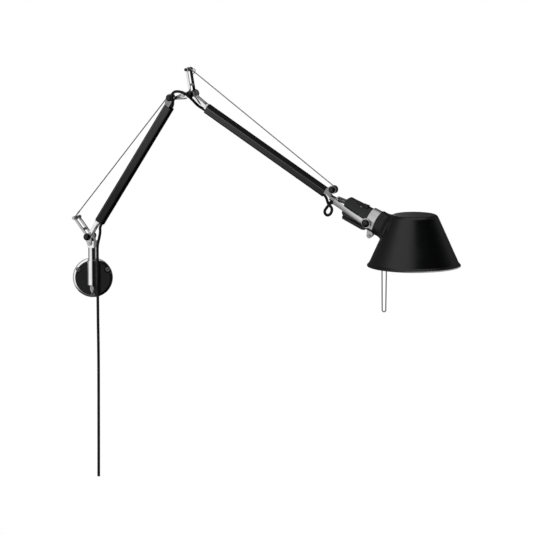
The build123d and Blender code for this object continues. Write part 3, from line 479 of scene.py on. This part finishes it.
def frosted(name):
    """Opal glass: white and softly lit from within by what falls on it."""
    finish = Finish(name, transmission_weight=0.25, ior=1.45, subsurface_weight=0.15,
                    subsurface_radius=(0.01, 0.01, 0.01))
    cloud = finish.noise(120, 3)
    finish.set("base_color", finish.between(cloud, (0.86, 0.86, 0.84), (0.95, 0.95, 0.93)))
    finish.set("roughness", cloud * 0.1 + 0.22)
    return finish.material


# A tube's painted light starts between these levels and its painted highlight line has this width, in millimetres.
# The painted light grows brighter between these two heights, in metres.
BAND_FOOT = (-6.2, -4.6)
LINE_WIDTH = 0.45
TUBE_RISE = (0.14, 0.3)


def tube_coat(name, at, drop, top):
    """Enamel on a tube: painted light on a band along its front, a painted highlight line above it and black beyond.

    The tube's axis lies a drop below its pivots' line, and the band ends at a top above the axis, both in
    millimetres. The painted light on the band grows brighter as the tube rises.
    """
    finish = Finish(name, specular_ior_level=0.12)
    side = (at(0, 1) - at(0, 0)).normalized()
    # Painted light: faces turned to the front are paler, with a painted highlight along the edge above, brighter
    # higher up.
    front = finish.spread(finish.turned_to(FRONT), 0.3, 0.5)
    level = (finish.along(side) - at(0, -drop) @ side) * (1 / MM)
    lit_band = finish.spread(level, top + 0.3, top - 0.2) * finish.spread(level, *BAND_FOOT)
    line_top = top + LINE_WIDTH
    line = finish.spread(level, top - 0.6, top - 0.2)
    line = line * finish.spread(level, line_top + 0.2, line_top - 0.2)
    rise = finish.spread(finish.apart(finish.place, "Z"), *TUBE_RISE)
    peel = finish.noise(700, 2)
    dust = finish.spread(finish.noise(38, 5), 0.5, 0.78)
    shown = front * lit_band * (rise * 0.82 + 0.18) + dust * 0.04
    face = finish.between(shown, (0.003, 0.003, 0.003), (0.055, 0.055, 0.057))
    painted_highlight = finish.between(front * line * (rise * 0.4 + 0.6), (0, 0, 0), (0.15, 0.15, 0.155))
    finish.set("base_color", finish.between(1.0, face, painted_highlight, "ADD"))
    finish.set("roughness", dust * 0.1 + peel * 0.05 + 0.26)
    finish.relief(peel, 0.00004, 0.35)
    return finish.material


def rimmed(name, level, radius):
    """Bright plating round the rim of a disc on the wall, and black paint within a radius in metres."""
    finish = Finish(name, metallic=1.0)
    fine = finish.noise(900, 2)
    flat = finish.node("ShaderNodeVectorMath", {0: finish.place, 1: (1, 0, 1)}, operation="MULTIPLY")
    reach = finish.node("ShaderNodeVectorMath", {0: flat}, output=1, operation="LENGTH")
    finish.set("base_color", finish.between(reach > radius, grey(0.01), grey(level)))
    finish.set("roughness", fine * 0.03 + 0.05)
    finish.relief(fine, 0.00001, 0.25)
    return finish.material


def cheeked(name, level, depth):
    """Plating on the front of a formed bracket, and painted shade, near black, on what lies behind a depth along
    FRONT.
    """
    finish = Finish(name, metallic=1.0)
    marks = finish.spread(finish.noise(85, 4), 0.42, 0.7)
    fine = finish.noise(900, 2)
    plate = finish.between(marks, grey(level), grey(level * 0.86))
    # Painted shade: the back cheek and web, which lie in shadow, are coloured near black.
    finish.set("base_color", finish.between(finish.along(FRONT) < depth, plate, grey(0.012)))
    finish.set("roughness", marks * 0.07 + fine * 0.03 + 0.1)
    finish.relief(fine, 0.00001, 0.25)
    return finish.material


shade_low, shade_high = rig.box("shade")
shade_middle = ((shade_low[0] + shade_high[0]) / 2, (shade_low[1] + shade_high[1]) / 2,
                shade_low[2] + 0.4 * (shade_high[2] - shade_low[2]))
back_cheek = arm_point(0, 0, -LEG_OUTSIDE) @ FRONT
finishes = {
    "chrome": plated("chrome plating", 0.9, 0.04),
    "polished_metal": plated("polished aluminium", 0.86, 0.08),
    "brushed_metal": brushed("brushed aluminium", 0.74, 0.18, (0.25, 0.25, 1.4)),
    "shade_coat": lined("shade enamel", (0.0045, 0.0049, 0.0048), (0.8, 0.8, 0.78), 0.26, shade_middle,
                        shade_low[2]),
    "holder_grey": moulded("dark grey moulding", (0.014, 0.0145, 0.0145), 0.42),
    "black_enamel": enamel("black enamel", (0.006, 0.006, 0.0062), 0.34, 0.0),
    "lower_coat": tube_coat("lower tube enamel", lower_at, LOWER_TUBE_DROP, 5.0),
    "upper_coat": tube_coat("upper tube enamel", upper_at, UPPER_TUBE_DROP, 2.8),
    "cast_metal": plated("cast aluminium", 0.24, 0.16),
    "lever_metal": plated("lever plating", 0.5, 0.16),
    "screw_metal": plated("screw plating", 0.16, 0.2),
    "rim_chrome": rimmed("rim plating", 0.9, COVER_RADIUS * MM),
    "nut_metal": brushed("nut plating", 0.7, 0.36, (1, 1, 1)),
    "ring_metal": brushed("clamp aluminium", 0.6, 0.2, (0.25, 0.25, 1.4)),
    "matt_plate": brushed("washer plating", 0.42, 0.22, (1, 1, 1)),
    "two_cheeks": cheeked("bracket plating", 0.86, back_cheek),
    "gloss_black": enamel("gloss black", (0.003, 0.0036, 0.0034), 0.12, 0.1),
    "black_moulding": moulded("black moulding", (0.014, 0.014, 0.0145), 0.46),
    "knob_black": enamel("knob black", (0.003, 0.003, 0.0033), 0.2, 0.15),
    "steel": brushed("bright steel", 0.5, 0.2, (1, 1, 0.3)),
    "wire": brushed("stranded wire", 0.32, 0.32, (1, 1, 0.5)),
    "loop_wire": brushed("drawn steel wire", 0.22, 0.28, (1, 1, 0.3)),
    "brass_bush": plated("bush brass", 0.6, 0.2),
    "white_ceramic": enamel("glazed ceramic", (0.8, 0.79, 0.75), 0.18, 0.5),
    "bulb_glass": frosted("opal glass"),
    "black_cord": sheathed("cord sheath"),
}
# Most nodes wear the finish of their slot; these wear one of their own.
NODE_FINISH = {
    "wall_screws": "screw_metal", "pivot_socket": "polished_metal", "base_lever": "lever_metal",
    "lower_tube": "lower_coat", "elbow_casting": "cast_metal", "mast": "two_cheeks", "mast_pin": "knob_black",
    "upper_tube": "upper_coat", "end_casting": "cast_metal", "head_fork": "brushed_metal",
    "lamp_holder": "holder_grey", "collar_ring": "ring_metal", "shade": "shade_coat",
    "shade_neck": "black_enamel", "pull_loop": "loop_wire",
}
for part in frame["record"]["subparts"]:
    node = part["node"]
    coat = NODE_FINISH.get(node, part["material_slot"])
    mesh = frame["nodes"][node].data
    mesh.materials.clear()
    mesh.materials.append(finishes[coat])


# ---- making pieces
def alone(piece):
    """Selects one piece and nothing else."""
    bpy.ops.object.select_all(action="DESELECT")
    piece.select_set(True)
    bpy.context.view_layer.objects.active = piece


def fresh(piece, name, finish):
    """Names a piece and gives it its one finish."""
    piece.name = name
    piece.data.name = name
    piece.data.materials.clear()
    piece.data.materials.append(finishes[finish])
    return piece


def settle(piece, matrix):
    """Puts a piece in its place, with the place in its mesh."""
    piece.matrix_world = matrix
    alone(piece)
    bpy.ops.object.transform_apply(location=True, rotation=True, scale=True)


def smooth(piece, angle):
    """Shades a piece smooth, except over edges sharper than an angle in degrees."""
    alone(piece)
    bpy.ops.object.shade_smooth_by_angle(angle=math.radians(angle))


def turned(name, rings, sides, finish):
    """A round piece, raised from its first disc ring by ring: each ring is (radius, height) in millimetres."""
    bpy.ops.object.select_all(action="DESELECT")
    radius, height = rings[0]
    bpy.ops.mesh.primitive_circle_add(vertices=sides, radius=radius * MM, fill_type="NGON",
                                      location=(0, 0, height * MM))
    piece = fresh(bpy.context.object, name, finish)
    bpy.ops.object.mode_set(mode="EDIT")
    for next_radius, next_height in rings[1:]:
        step = (0, 0, (next_height - height) * MM)
        bpy.ops.mesh.extrude_region_move(TRANSFORM_OT_translate={"value": step})
        share = next_radius / radius
        bpy.ops.transform.resize(value=(share, share, 1), center_override=(0, 0, next_height * MM))
        radius, height = next_radius, next_height
    bpy.ops.mesh.select_all(action="SELECT")
    bpy.ops.mesh.remove_doubles(threshold=1e-7)
    bpy.ops.mesh.normals_make_consistent(inside=False)
    bpy.ops.object.mode_set(mode="OBJECT")
    bpy.ops.object.transform_apply(location=True, rotation=True, scale=True)
    return piece


def raised(name, rings, sides, finish, angle, matrix):
    """A round piece, shaded smooth below an angle and put in its place."""
    piece = turned(name, rings, sides, finish)
    smooth(piece, angle)
    settle(piece, matrix)
    return piece


def copied(piece, name):
    """A copy with its own mesh."""
    twin = piece.copy()
    twin.data = piece.data.copy()
    bpy.context.collection.objects.link(twin)
    twin.name = name
    twin.data.name = name
    return twin


def rounded(piece, width):
    """Rounds a piece's hard edges by a width in millimetres."""
    alone(piece)
    bevel = piece.modifiers.new("edges", "BEVEL")
    bevel.width = width * MM
    bevel.segments = 2
    bevel.limit_method = "ANGLE"
    bevel.angle_limit = math.radians(30)
    bevel.use_clamp_overlap = True
    bpy.ops.object.modifier_apply(modifier=bevel.name)


def softened(node, width):
    """A node's copy with its edges eased, as the real piece's are after casting or stamping."""
    piece = copied(frame["nodes"][node], node + "_eased")
    piece.parent = None
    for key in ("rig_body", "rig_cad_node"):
        if key in piece:
            del piece[key]
    alone(piece)
    bpy.ops.object.mode_set(mode="EDIT")
    bpy.ops.mesh.select_all(action="SELECT")
    bpy.ops.mesh.remove_doubles(threshold=2e-6)
    bpy.ops.mesh.dissolve_limited(angle_limit=math.radians(0.5))
    bpy.ops.object.mode_set(mode="OBJECT")
    rounded(piece, width)
    smooth(piece, 35)
    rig.replaces(piece, node)
    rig.ride(piece, body_of(node))


# ---- camera: a long lens, square to the wall and a few degrees above it
CAMERA_PLACE = (0.2837, -5.4792, 0.8839)
CAMERA_DIP = 9
LENS = 229.8
bpy.ops.object.camera_add(location=CAMERA_PLACE, rotation=(math.radians(90 - CAMERA_DIP), 0, 0))
camera = bpy.context.object
camera.data.sensor_width = 36
camera.data.lens = LENS
bpy.context.scene.camera = camera


# ---- cords: the route's points, and one smooth line through each
def round_curve(name, kind, points, radius, around):
    """A curve over points, with a round section, a radius in millimetres and closed ends."""
    data = bpy.data.curves.new(name, "CURVE")
    data.dimensions = "3D"
    spline = data.splines.new(kind)
    spline.points.add(len(points) - 1)
    for knot, point in zip(spline.points, points):
        knot.co = (*point, 1)
    data.bevel_depth = radius * MM
    data.bevel_resolution = around
    data.use_fill_caps = True
    curve = bpy.data.objects.new(name, data)
    bpy.context.collection.objects.link(curve)
    return curve


def cord_curve(name, points):
    """A cord whose line is a smooth spline over the route's points."""
    curve = round_curve(name, "NURBS", points, CORD, 6)
    curve.data.resolution_u = 14
    spline = curve.data.splines[0]
    spline.order_u = 3
    spline.use_endpoint_u = True
    curve.data.materials.append(finishes["black_cord"])
    return curve


def spline_line(curve):
    """The points that a curve's spline runs through."""
    bare = curve.copy()
    bare.data = curve.data.copy()
    bare.data.bevel_depth = 0
    bpy.context.collection.objects.link(bare)
    bpy.context.view_layer.update()
    mesh = bpy.data.meshes.new_from_object(bare)
    points = [vertex.co.copy() for vertex in mesh.vertices]
    bpy.data.objects.remove(bare)
    return points


def line_length(points):
    """The length of the line through points."""
    return sum((after - before).length for before, after in zip(points, points[1:]))


def meshed(curve):
    """A curve made into a mesh tube, for a piece that bends between two bodies."""
    alone(curve)
    bpy.ops.object.convert(target="MESH")
    return bpy.context.object


def beside(height):
    """A point of the cord beside the socket, at a height in millimetres."""
    return Vector((9.1, -29, height)) * MM


lower_mouth = [lower_at(34.8, -6.1), lower_at(23.8, -6.1)]
lower_far_mouth = [lower_at(256.4, -6.1), lower_at(267.4, -6.1)]
upper_mouth = [upper_at(26.3, -10.4), upper_at(37.3, -10.4)]
upper_far_mouth = [upper_at(266.9, -10.4), upper_at(275.4, -10.4)]
gland = arm_frame(427.36, 155.98, -135)
gland_mouth = [gland(15.0, 0, -3), gland(9.5, 0, -3)]
head_bends = [head_at(0, 0) + (OUT * p + UP * q + FRONT * n) * MM for p, q, n in (
    (-9.4, -6.6, 5.6), (-1.9, -12.7, 5.5), (-5.2, -22.4, 4.0), (-13.7, -26.0, 1.0), (-19.9, -19.9, -2.0),
    (-13.6, -11.2, -3.0))]
elbow_bends = [elbow_at(*bend) for bend in (
    (-30.3, -9.5, 11.0), (-30.5, -2.0, 13.4), (-25.3, 4.0, 14.4), (-13.8, 4.6, 16.0), (-2.8, 1.5, 18.7),
    (6.4, -5.5, 17.7), (13.8, -17.0, 9.8))]
drop_bends = [base_at(*bend) for bend in (
    (20.1, 9.3, 2.0), (19.6, -0.2, 4.5), (17.2, -10.2, 5.5), (15.1, -19.2, 3.2))]
drop_foot = [beside(46.2), beside(41.2)]
hanging_bends = [Vector(point) * MM for point in (
    (9.6, -29.2, -114), (9.4, -29.1, -168), (9.0, -28.8, -222), (8.7, -28.9, -274), (8.3, -29, -324))]


def free_cord(name, points, far_end, lay, body, node, ends=None):
    """A cord over its route; one with ends bends between two bodies and is made a mesh."""
    curve = cord_curve(name, points)
    line = spline_line(curve)
    facts = dict(exit=points[0], length=line_length(line), diameter=2 * CORD * MM, far_end=far_end,
                 stiffness="limp", lay=lay)
    if ends:
        tube = fresh(meshed(curve), name, "black_cord")
        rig.blend(tube, *ends)
        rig.replaces(tube, node)
        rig.cord(tube, path=line, **facts)
    else:
        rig.replaces(curve, node)
        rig.ride(curve, body)
        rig.cord(curve, **facts)


free_cord("head_cord", upper_far_mouth + head_bends + gland_mouth, "object", "loose", "upper_arm",
          "cord_head")
free_cord("elbow_cord", lower_far_mouth + elbow_bends + upper_mouth, "object", "loose", None, "cord_elbow",
          ("lower_arm", "upper_arm", elbow_at(-26, 2, 14), elbow_at(12, -13, 10)))
free_cord("shoulder_cord", lower_mouth + drop_bends + drop_foot, "object", "loose", None, "cord_drop",
          ("stem", "lower_arm", base_at(14, -24, 3), base_at(19.5, 14, 0)))
free_cord("hanging_cord", [beside(-14), beside(-62)] + hanging_bends, "bare", "hanging", "wall_mount",
          "cord_hanging")

# ---- the cord beside the socket twists as the stem swings
side_line = cord_curve("socket_side_cord", [drop_foot[-1], beside(14), beside(-14)])
side_cord = fresh(meshed(side_line), "socket_side_cord", "black_cord")
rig.blend(side_cord, "wall_mount", "stem", (0, 0, -0.014), (0, 0, 0.0412))
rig.replaces(side_cord, "cord_swivel")
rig.cord(side_cord, exit=drop_foot[-1], length=0.0552, diameter=2 * CORD * MM, far_end="object",
        stiffness="limp", lay="hanging", path=[beside(height) for height in (41.2, 28, 14, 0, -14)])


# ---- knobs, and the eyes of the head's fork
def joined(pieces, name):
    """Several meshes made one piece."""
    bpy.ops.object.select_all(action="DESELECT")
    for piece in pieces:
        piece.select_set(True)
    bpy.context.view_layer.objects.active = pieces[0]
    bpy.ops.object.join()
    pieces[0].name = name
    pieces[0].data.name = name
    return pieces[0]


def knob_rings(radius, length):
    """A cap knob's profile: a small lip, a straight skirt, a fine groove and a full dome."""
    skirt = 0.3 * length
    dome = skirt + 0.25
    rings = [(radius * 0.9, 0.0), (radius, 0.35), (radius, skirt - 0.25), (radius - 0.3, skirt),
             (radius, dome)]
    for degrees in (15, 30, 45, 58, 70, 80, 87):
        out, up = turn(degrees)
        rings.append((radius * out ** 0.8, dome + (length - dome) * up))
    return rings


def both_ways(name, rings, sides, finish, place, axis, start):
    """A round piece and its twin, which start at a distance from a place and look each way along an axis."""
    pair = []
    for side in (1, -1):
        matrix = facing(place + axis * side * start * MM, axis * side)
        pair.append(raised(f"{name}_{side}", rings, sides, finish, 40, matrix))
    return joined(pair, name)


# Each knob's radius and length.
AXLE_KNOB, WHEEL_CAP, TILT_KNOB = (5.8, 6.2), (5.1, 4.6), (6.3, 3.7)
for node, place, axis, start, size in (
        ("base_knobs", base_at(0, 0), FRONT, CHEEK_OUTSIDE, AXLE_KNOB),
        ("elbow_knobs", elbow_at(0, 0), FRONT, CHEEK_OUTSIDE, AXLE_KNOB),
        ("lower_pulley_caps", lower_at(*LOWER_WHEEL), FRONT, WHEEL_CHEEK_OUTSIDE, WHEEL_CAP),
        ("upper_pulley_caps", upper_at(*UPPER_WHEEL), FRONT, WHEEL_CHEEK_OUTSIDE, WHEEL_CAP),
        ("tilt_knobs", fork_at(TILT_REACH), FORK_SIDE, FORK_OUTSIDE, TILT_KNOB)):
    pair = both_ways(node + "_domed", knob_rings(*size), 44, "knob_black", place, axis, start)
    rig.replaces(pair, node)
    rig.ride(pair, body_of(node))

eye_rings = [(5.0, 0), (7.8, 0), (8.2, 0.35), (8.2, 1.85), (7.8, 2.2), (5.0, 2.2)]
eyes = both_ways("fork_eyes", eye_rings, 48, "brushed_metal", fork_at(TILT_REACH), FORK_SIDE, FORK_INSIDE)
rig.ride(eyes, body_of("head_fork"))
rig.slot(eyes, "polished_metal")

for node, width in (("head_fork", 1.3), ("lower_root_fork", 0.6), ("upper_root_fork", 0.6), ("mast", 0.5),
                    ("base_lever", 0.5)):
    softened(node, width)

# ---- wall plate: its rim is rolled, with a bright flat and a steep outer edge
plate_rings = [(32.4, 0), (32.5, 0.2), (32.5, 1.1), (32.3, 1.9), (31.9, 2.7), (31.5, 3.1), (29.6, 4.6),
               (29.1, 4.85), (28.4, 5.0), (8.0, 5.0)]
plate = raised("rolled_wall_plate", plate_rings, 128, "rim_chrome", 30,
               facing(Vector((0, 0, 0)), Vector((0, -1, 0))))
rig.replaces(plate, "wall_plate")
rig.ride(plate, body_of("wall_plate"))

# ---- the wide washer under the elbow's back knob
washer_rings = [(5.9, 0), (6.6, 0.15), (7.0, 0.5), (7.0, 0.9), (6.7, 1.25), (5.2, 1.3)]
washer = raised("elbow_back_washer", washer_rings, 48, "matt_plate", 30,
                facing(elbow_at(0, 0, -10.3), FRONT))
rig.ride(washer, body_of("elbow_knobs"))
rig.slot(washer, "steel")


# ---- balance wires: an eye round the pin, the straight run, the turn over the pulley and the way to the
# spring. The radii of the wire, the eye and the turn, and the shares of the run between which it bends
WIRE = 0.92
EYE = 2.6
WRAP = 4.85
BEND_FROM, BEND_TO = 0.04, 0.08
FERRULE_FROM_EYE = 5.2
ferrule_rings = [(0.95, 0), (1.35, 0.3), (1.35, 1.6), (1.15, 1.9), (1.35, 2.2), (1.35, 4.2), (1.15, 4.5),
                 (1.35, 4.8), (1.35, 6.0), (0.95, 6.4)]


def touching(centre, radius, other, other_radius):
    """Where the tangent on the left of the way from one circle to another meets both."""
    way = Vector(other) - Vector(centre)
    share = (radius - other_radius) / way.length
    side = way.normalized() * share + Vector((-way.y, way.x)).normalized() * (1 - share * share) ** 0.5
    return Vector(centre) + side * radius, Vector(other) + side * other_radius


def wire_tube(name, points, radius=WIRE):
    """A fine round tube along points, as a mesh."""
    return fresh(meshed(round_curve(name, "POLY", points, radius, 3)), name, "wire")


def balance_wire(name, at, pin, pulley, spring_end, carrier, arm):
    """A wire with its eye on the carrier's pin and its far end in the arm, and the ferrule by its eye."""
    start, first = touching(pin, EYE, pulley, WRAP)
    second, _ = touching(pulley, WRAP, spring_end, 0)
    hub = Vector(pulley)
    begin = math.atan2(*(first - hub).yx)
    end = math.atan2(*(second - hub).yx)
    if end > begin:
        end -= 2 * math.pi
    line = [start.lerp(first, step / 60) for step in range(61)]
    for step in range(1, 24):
        angle = begin + (end - begin) * step / 24
        line.append(hub + Vector((math.cos(angle), math.sin(angle))) * WRAP)
    line += [second, Vector(spring_end)]
    strand = wire_tube(name + "_strand", [at(*point) for point in line])
    ring = []
    begin = math.atan2(*(start - Vector(pin)).yx)
    for step in range(29):
        angle = begin + math.radians(12.5 * step)
        ring.append(at(pin[0] + EYE * math.cos(angle), pin[1] + EYE * math.sin(angle), 0.03 * WIRE * step))
    eye = wire_tube(name + "_eye", ring)
    strand = joined([strand, eye], name + "_strand")
    smooth(strand, 50)
    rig.blend(strand, carrier, arm, at(*start.lerp(first, BEND_FROM)), at(*start.lerp(first, BEND_TO)))
    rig.replaces(strand, name)
    along = (at(*first) - at(*start)).normalized()
    ferrule = raised(name + "_ferrule", ferrule_rings, 24, "steel", 40,
                     facing(at(*start) + along * FERRULE_FROM_EYE * MM, along))
    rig.ride(ferrule, carrier)
    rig.slot(ferrule, "steel")


lower_pin = tuple(LEVER_LENGTH * part for part in turn(LEVER_ANGLE - LOWER_SLOPE))
upper_pin = tuple(MAST_LENGTH * part for part in turn(MAST_ANGLE - UPPER_SLOPE))
balance_wire("lower_wire", lower_at, lower_pin, LOWER_WHEEL, (228.4, -0.5), "stem", "lower_arm")
balance_wire("upper_wire", upper_at, upper_pin, UPPER_WHEEL, (238.9, -4.8), "lower_arm", "upper_arm")

# ---- the loop of wire behind the mast's top: half a slanting oval
hook = []
for step in range(15):
    out, up = turn(-90 + 180 * step / 14)
    hook.append(elbow_at(-3.7 + 4.6 * out + 0.82 * up, 34.6 + 0.84 * out + 4.4 * up, -7.5))
hook = fresh(wire_tube("mast_loop", hook, 0.6), "mast_loop", "knob_black")
smooth(hook, 50)
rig.ride(hook, "lower_arm")
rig.slot(hook, "steel")

# ---- bulb: an opal envelope in a threaded cap
bulb_place = facing(fork_at(BULB_SEAT), HEAD_AXIS)
envelope_rings = [(6.3, 17.5), (6.7, 18.5), (7.2, 21), (8.6, 25), (11.2, 31), (14.0, 37.5), (16.2, 44),
                  (17.3, 50), (17.5, 55), (17.1, 60), (15.7, 65), (13.2, 69.4), (9.6, 73), (5.4, 75.2),
                  (1.8, 75.9)]
envelope = raised("bulb_envelope", envelope_rings, 48, "bulb_glass", 60, bulb_place)
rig.replaces(envelope, "bulb")
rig.ride(envelope, "holder")
cap_rings = [(2.2, 0.2), (3.2, 0.8), (5.2, 1.8)]
for number in range(6):
    cap_rings += [(radius, 2.4 * number + height) for radius, height in (
        (6.2, 2.4), (6.75, 3.2), (6.75, 3.6), (6.2, 4.4))]
cap_rings += [(6.55, 17.2), (6.6, 18.6)]
cap = raised("bulb_cap", cap_rings, 40, "brass_bush", 25, bulb_place)
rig.ride(cap, "holder")
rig.slot(cap, "steel")

# ---- retaining nut: a knurled sleeve with a turned tip; every other column of the knurl is drawn in
KNURL_FOOT, KNURL_TOP, KNURL_STEP, KNURL_DEPTH = 2.2, 8.5, 7.5, 0.92
nut_rings = [(2.7, 0), (3.3, 0.5), (3.3, 1.2), (2.9, 1.5), (2.9, 2.0), (3.35, 2.3), (3.35, 8.4), (2.9, 8.7),
             (2.9, 9.2), (3.2, 9.5), (3.2, 9.9), (1.6, 10.0), (1.6, 12.6), (1.1, 13.3)]
knurl = turned("knurled_nut", nut_rings, 48, "nut_metal")
for vertex in knurl.data.vertices:
    if KNURL_FOOT < vertex.co.z / MM < KNURL_TOP:
        spot = round(math.degrees(math.atan2(vertex.co.y, vertex.co.x)) / KNURL_STEP)
        if spot % 2:
            vertex.co.xy = vertex.co.xy * KNURL_DEPTH
smooth(knurl, 25)
settle(knurl, facing(Vector((0, -SWIVEL_OFF_WALL, -9.15)) * MM, Vector((0, 0, -1)), Vector((1, 0, 0))))
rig.replaces(knurl, "retaining_nut")
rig.ride(knurl, body_of("retaining_nut"))

# ---- backdrop: white to the camera, dim to what is matt, and to metal a studio of white cards and black
# flags, which stand round the lamp; each is (degrees round from the front, brightness). They dim between two
# heights below the horizon, and a pale ceiling comes in between two heights above it
CARDS = ((-180, 0.05), (-125, 0.1), (-100, 0.22), (-85, 0.5), (-73, 0.95), (-50, 1.0), (-20, 0.95), (-6, 0.7),
         (3, 0.16), (10, 0.01), (80, 0.005), (98, 0.05), (125, 0.2), (150, 0.06), (180, 0.05))
AMBIENT = 0.14
DIM_BELOW = (-0.75, -0.45)
BRIGHT_ABOVE = (0.78, 0.9)
scene = bpy.context.scene
scene.view_settings.view_transform = "Standard"
scene.world = bpy.data.worlds.new("studio")
scene.world.use_nodes = True
studio = Net(scene.world.node_tree)
studio.tree.nodes.clear()
camera_ray, clear_ray, glossy_ray, diffuse_ray = (
    studio.node("ShaderNodeLightPath", output=f"Is {kind} Ray")
    for kind in ("Camera", "Transmission", "Glossy", "Diffuse"))
direction = studio.node("ShaderNodeTexCoord", output="Generated")
height = studio.apart(direction, "Z")
sideways = studio.apart(direction, "X")
around = sideways.worked("ARCTAN2", sideways, studio.apart(direction, "Y") * -1)
around = studio.spread(around, -math.pi, math.pi)
cards = studio.node("ShaderNodeValToRGB", {"Fac": around},
                    stops=[((degrees + 180) / 360, bright) for degrees, bright in CARDS])
below = studio.spread(height, *DIM_BELOW, least=0.05)
overhead = studio.spread(height, *BRIGHT_ABOVE, most=0.85)
shine = glossy_ray * (cards * below).larger(overhead)
strength = camera_ray.larger(clear_ray).larger(shine).larger(diffuse_ray * AMBIENT)
backdrop = studio.node("ShaderNodeBackground", {"Color": (1, 1, 1, 1), "Strength": strength})
studio.node("ShaderNodeOutputWorld", {"Surface": backdrop})

# ---- floor: matt paper, which looks nearly white to the camera and keeps the lamp's shadow
FLOOR_HEIGHT = -1.1
bpy.ops.mesh.primitive_plane_add(size=5, location=(0, 0, FLOOR_HEIGHT))
floor = bpy.context.object
floor.name = "floor"
floor.visible_glossy = False
paper = bpy.data.materials.new("studio paper")
paper.use_nodes = True
sheet = Net(paper.node_tree)
sheet.tree.nodes.clear()
matt = sheet.node("ShaderNodeBsdfDiffuse", {"Color": (0.82, 0.82, 0.82, 1)})
white = sheet.node("ShaderNodeEmission", {"Strength": 1.05})
share = sheet.node("ShaderNodeLightPath", output="Is Camera Ray") * 0.9
mixed = sheet.node("ShaderNodeMixShader", {"Fac": share, 1: matt, 2: white})
sheet.node("ShaderNodeOutputMaterial", {"Surface": mixed})
floor.data.materials.append(paper)
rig.stage(floor)


def softbox(name, place, target, width, height, power, mirrored=False):
    """A rectangular soft light that points at a target; metal and gloss mirror it only if asked."""
    bpy.ops.object.light_add(type="AREA", location=place)
    lamp = bpy.context.object
    lamp.name = name
    lamp.data.shape = "RECTANGLE"
    lamp.data.size = width
    lamp.data.size_y = height
    lamp.data.energy = power
    lamp.visible_glossy = mirrored
    lamp.rotation_euler = (Vector(target) - Vector(place)).to_track_quat("-Z", "Y").to_euler()


softbox("key", (-2.9, -1.1, 0.8), (0.3, -0.15, 0.15), 1.2, 1.6, 75)
softbox("rim", (1.5, -2.2, -0.9), (0.5, -0.3, 0.07), 0.5, 0.3, 14)
softbox("back", (0.41, 3.0, 0.72), (0.41, -0.26, 0.14), 0.3, 0.12, 0.6, mirrored=True)

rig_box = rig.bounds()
with open("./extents.json", "w") as sizes:
    json.dump({"cad": [list(corner) for corner in cad_box],
               "visual": [list(corner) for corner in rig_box]}, sizes)
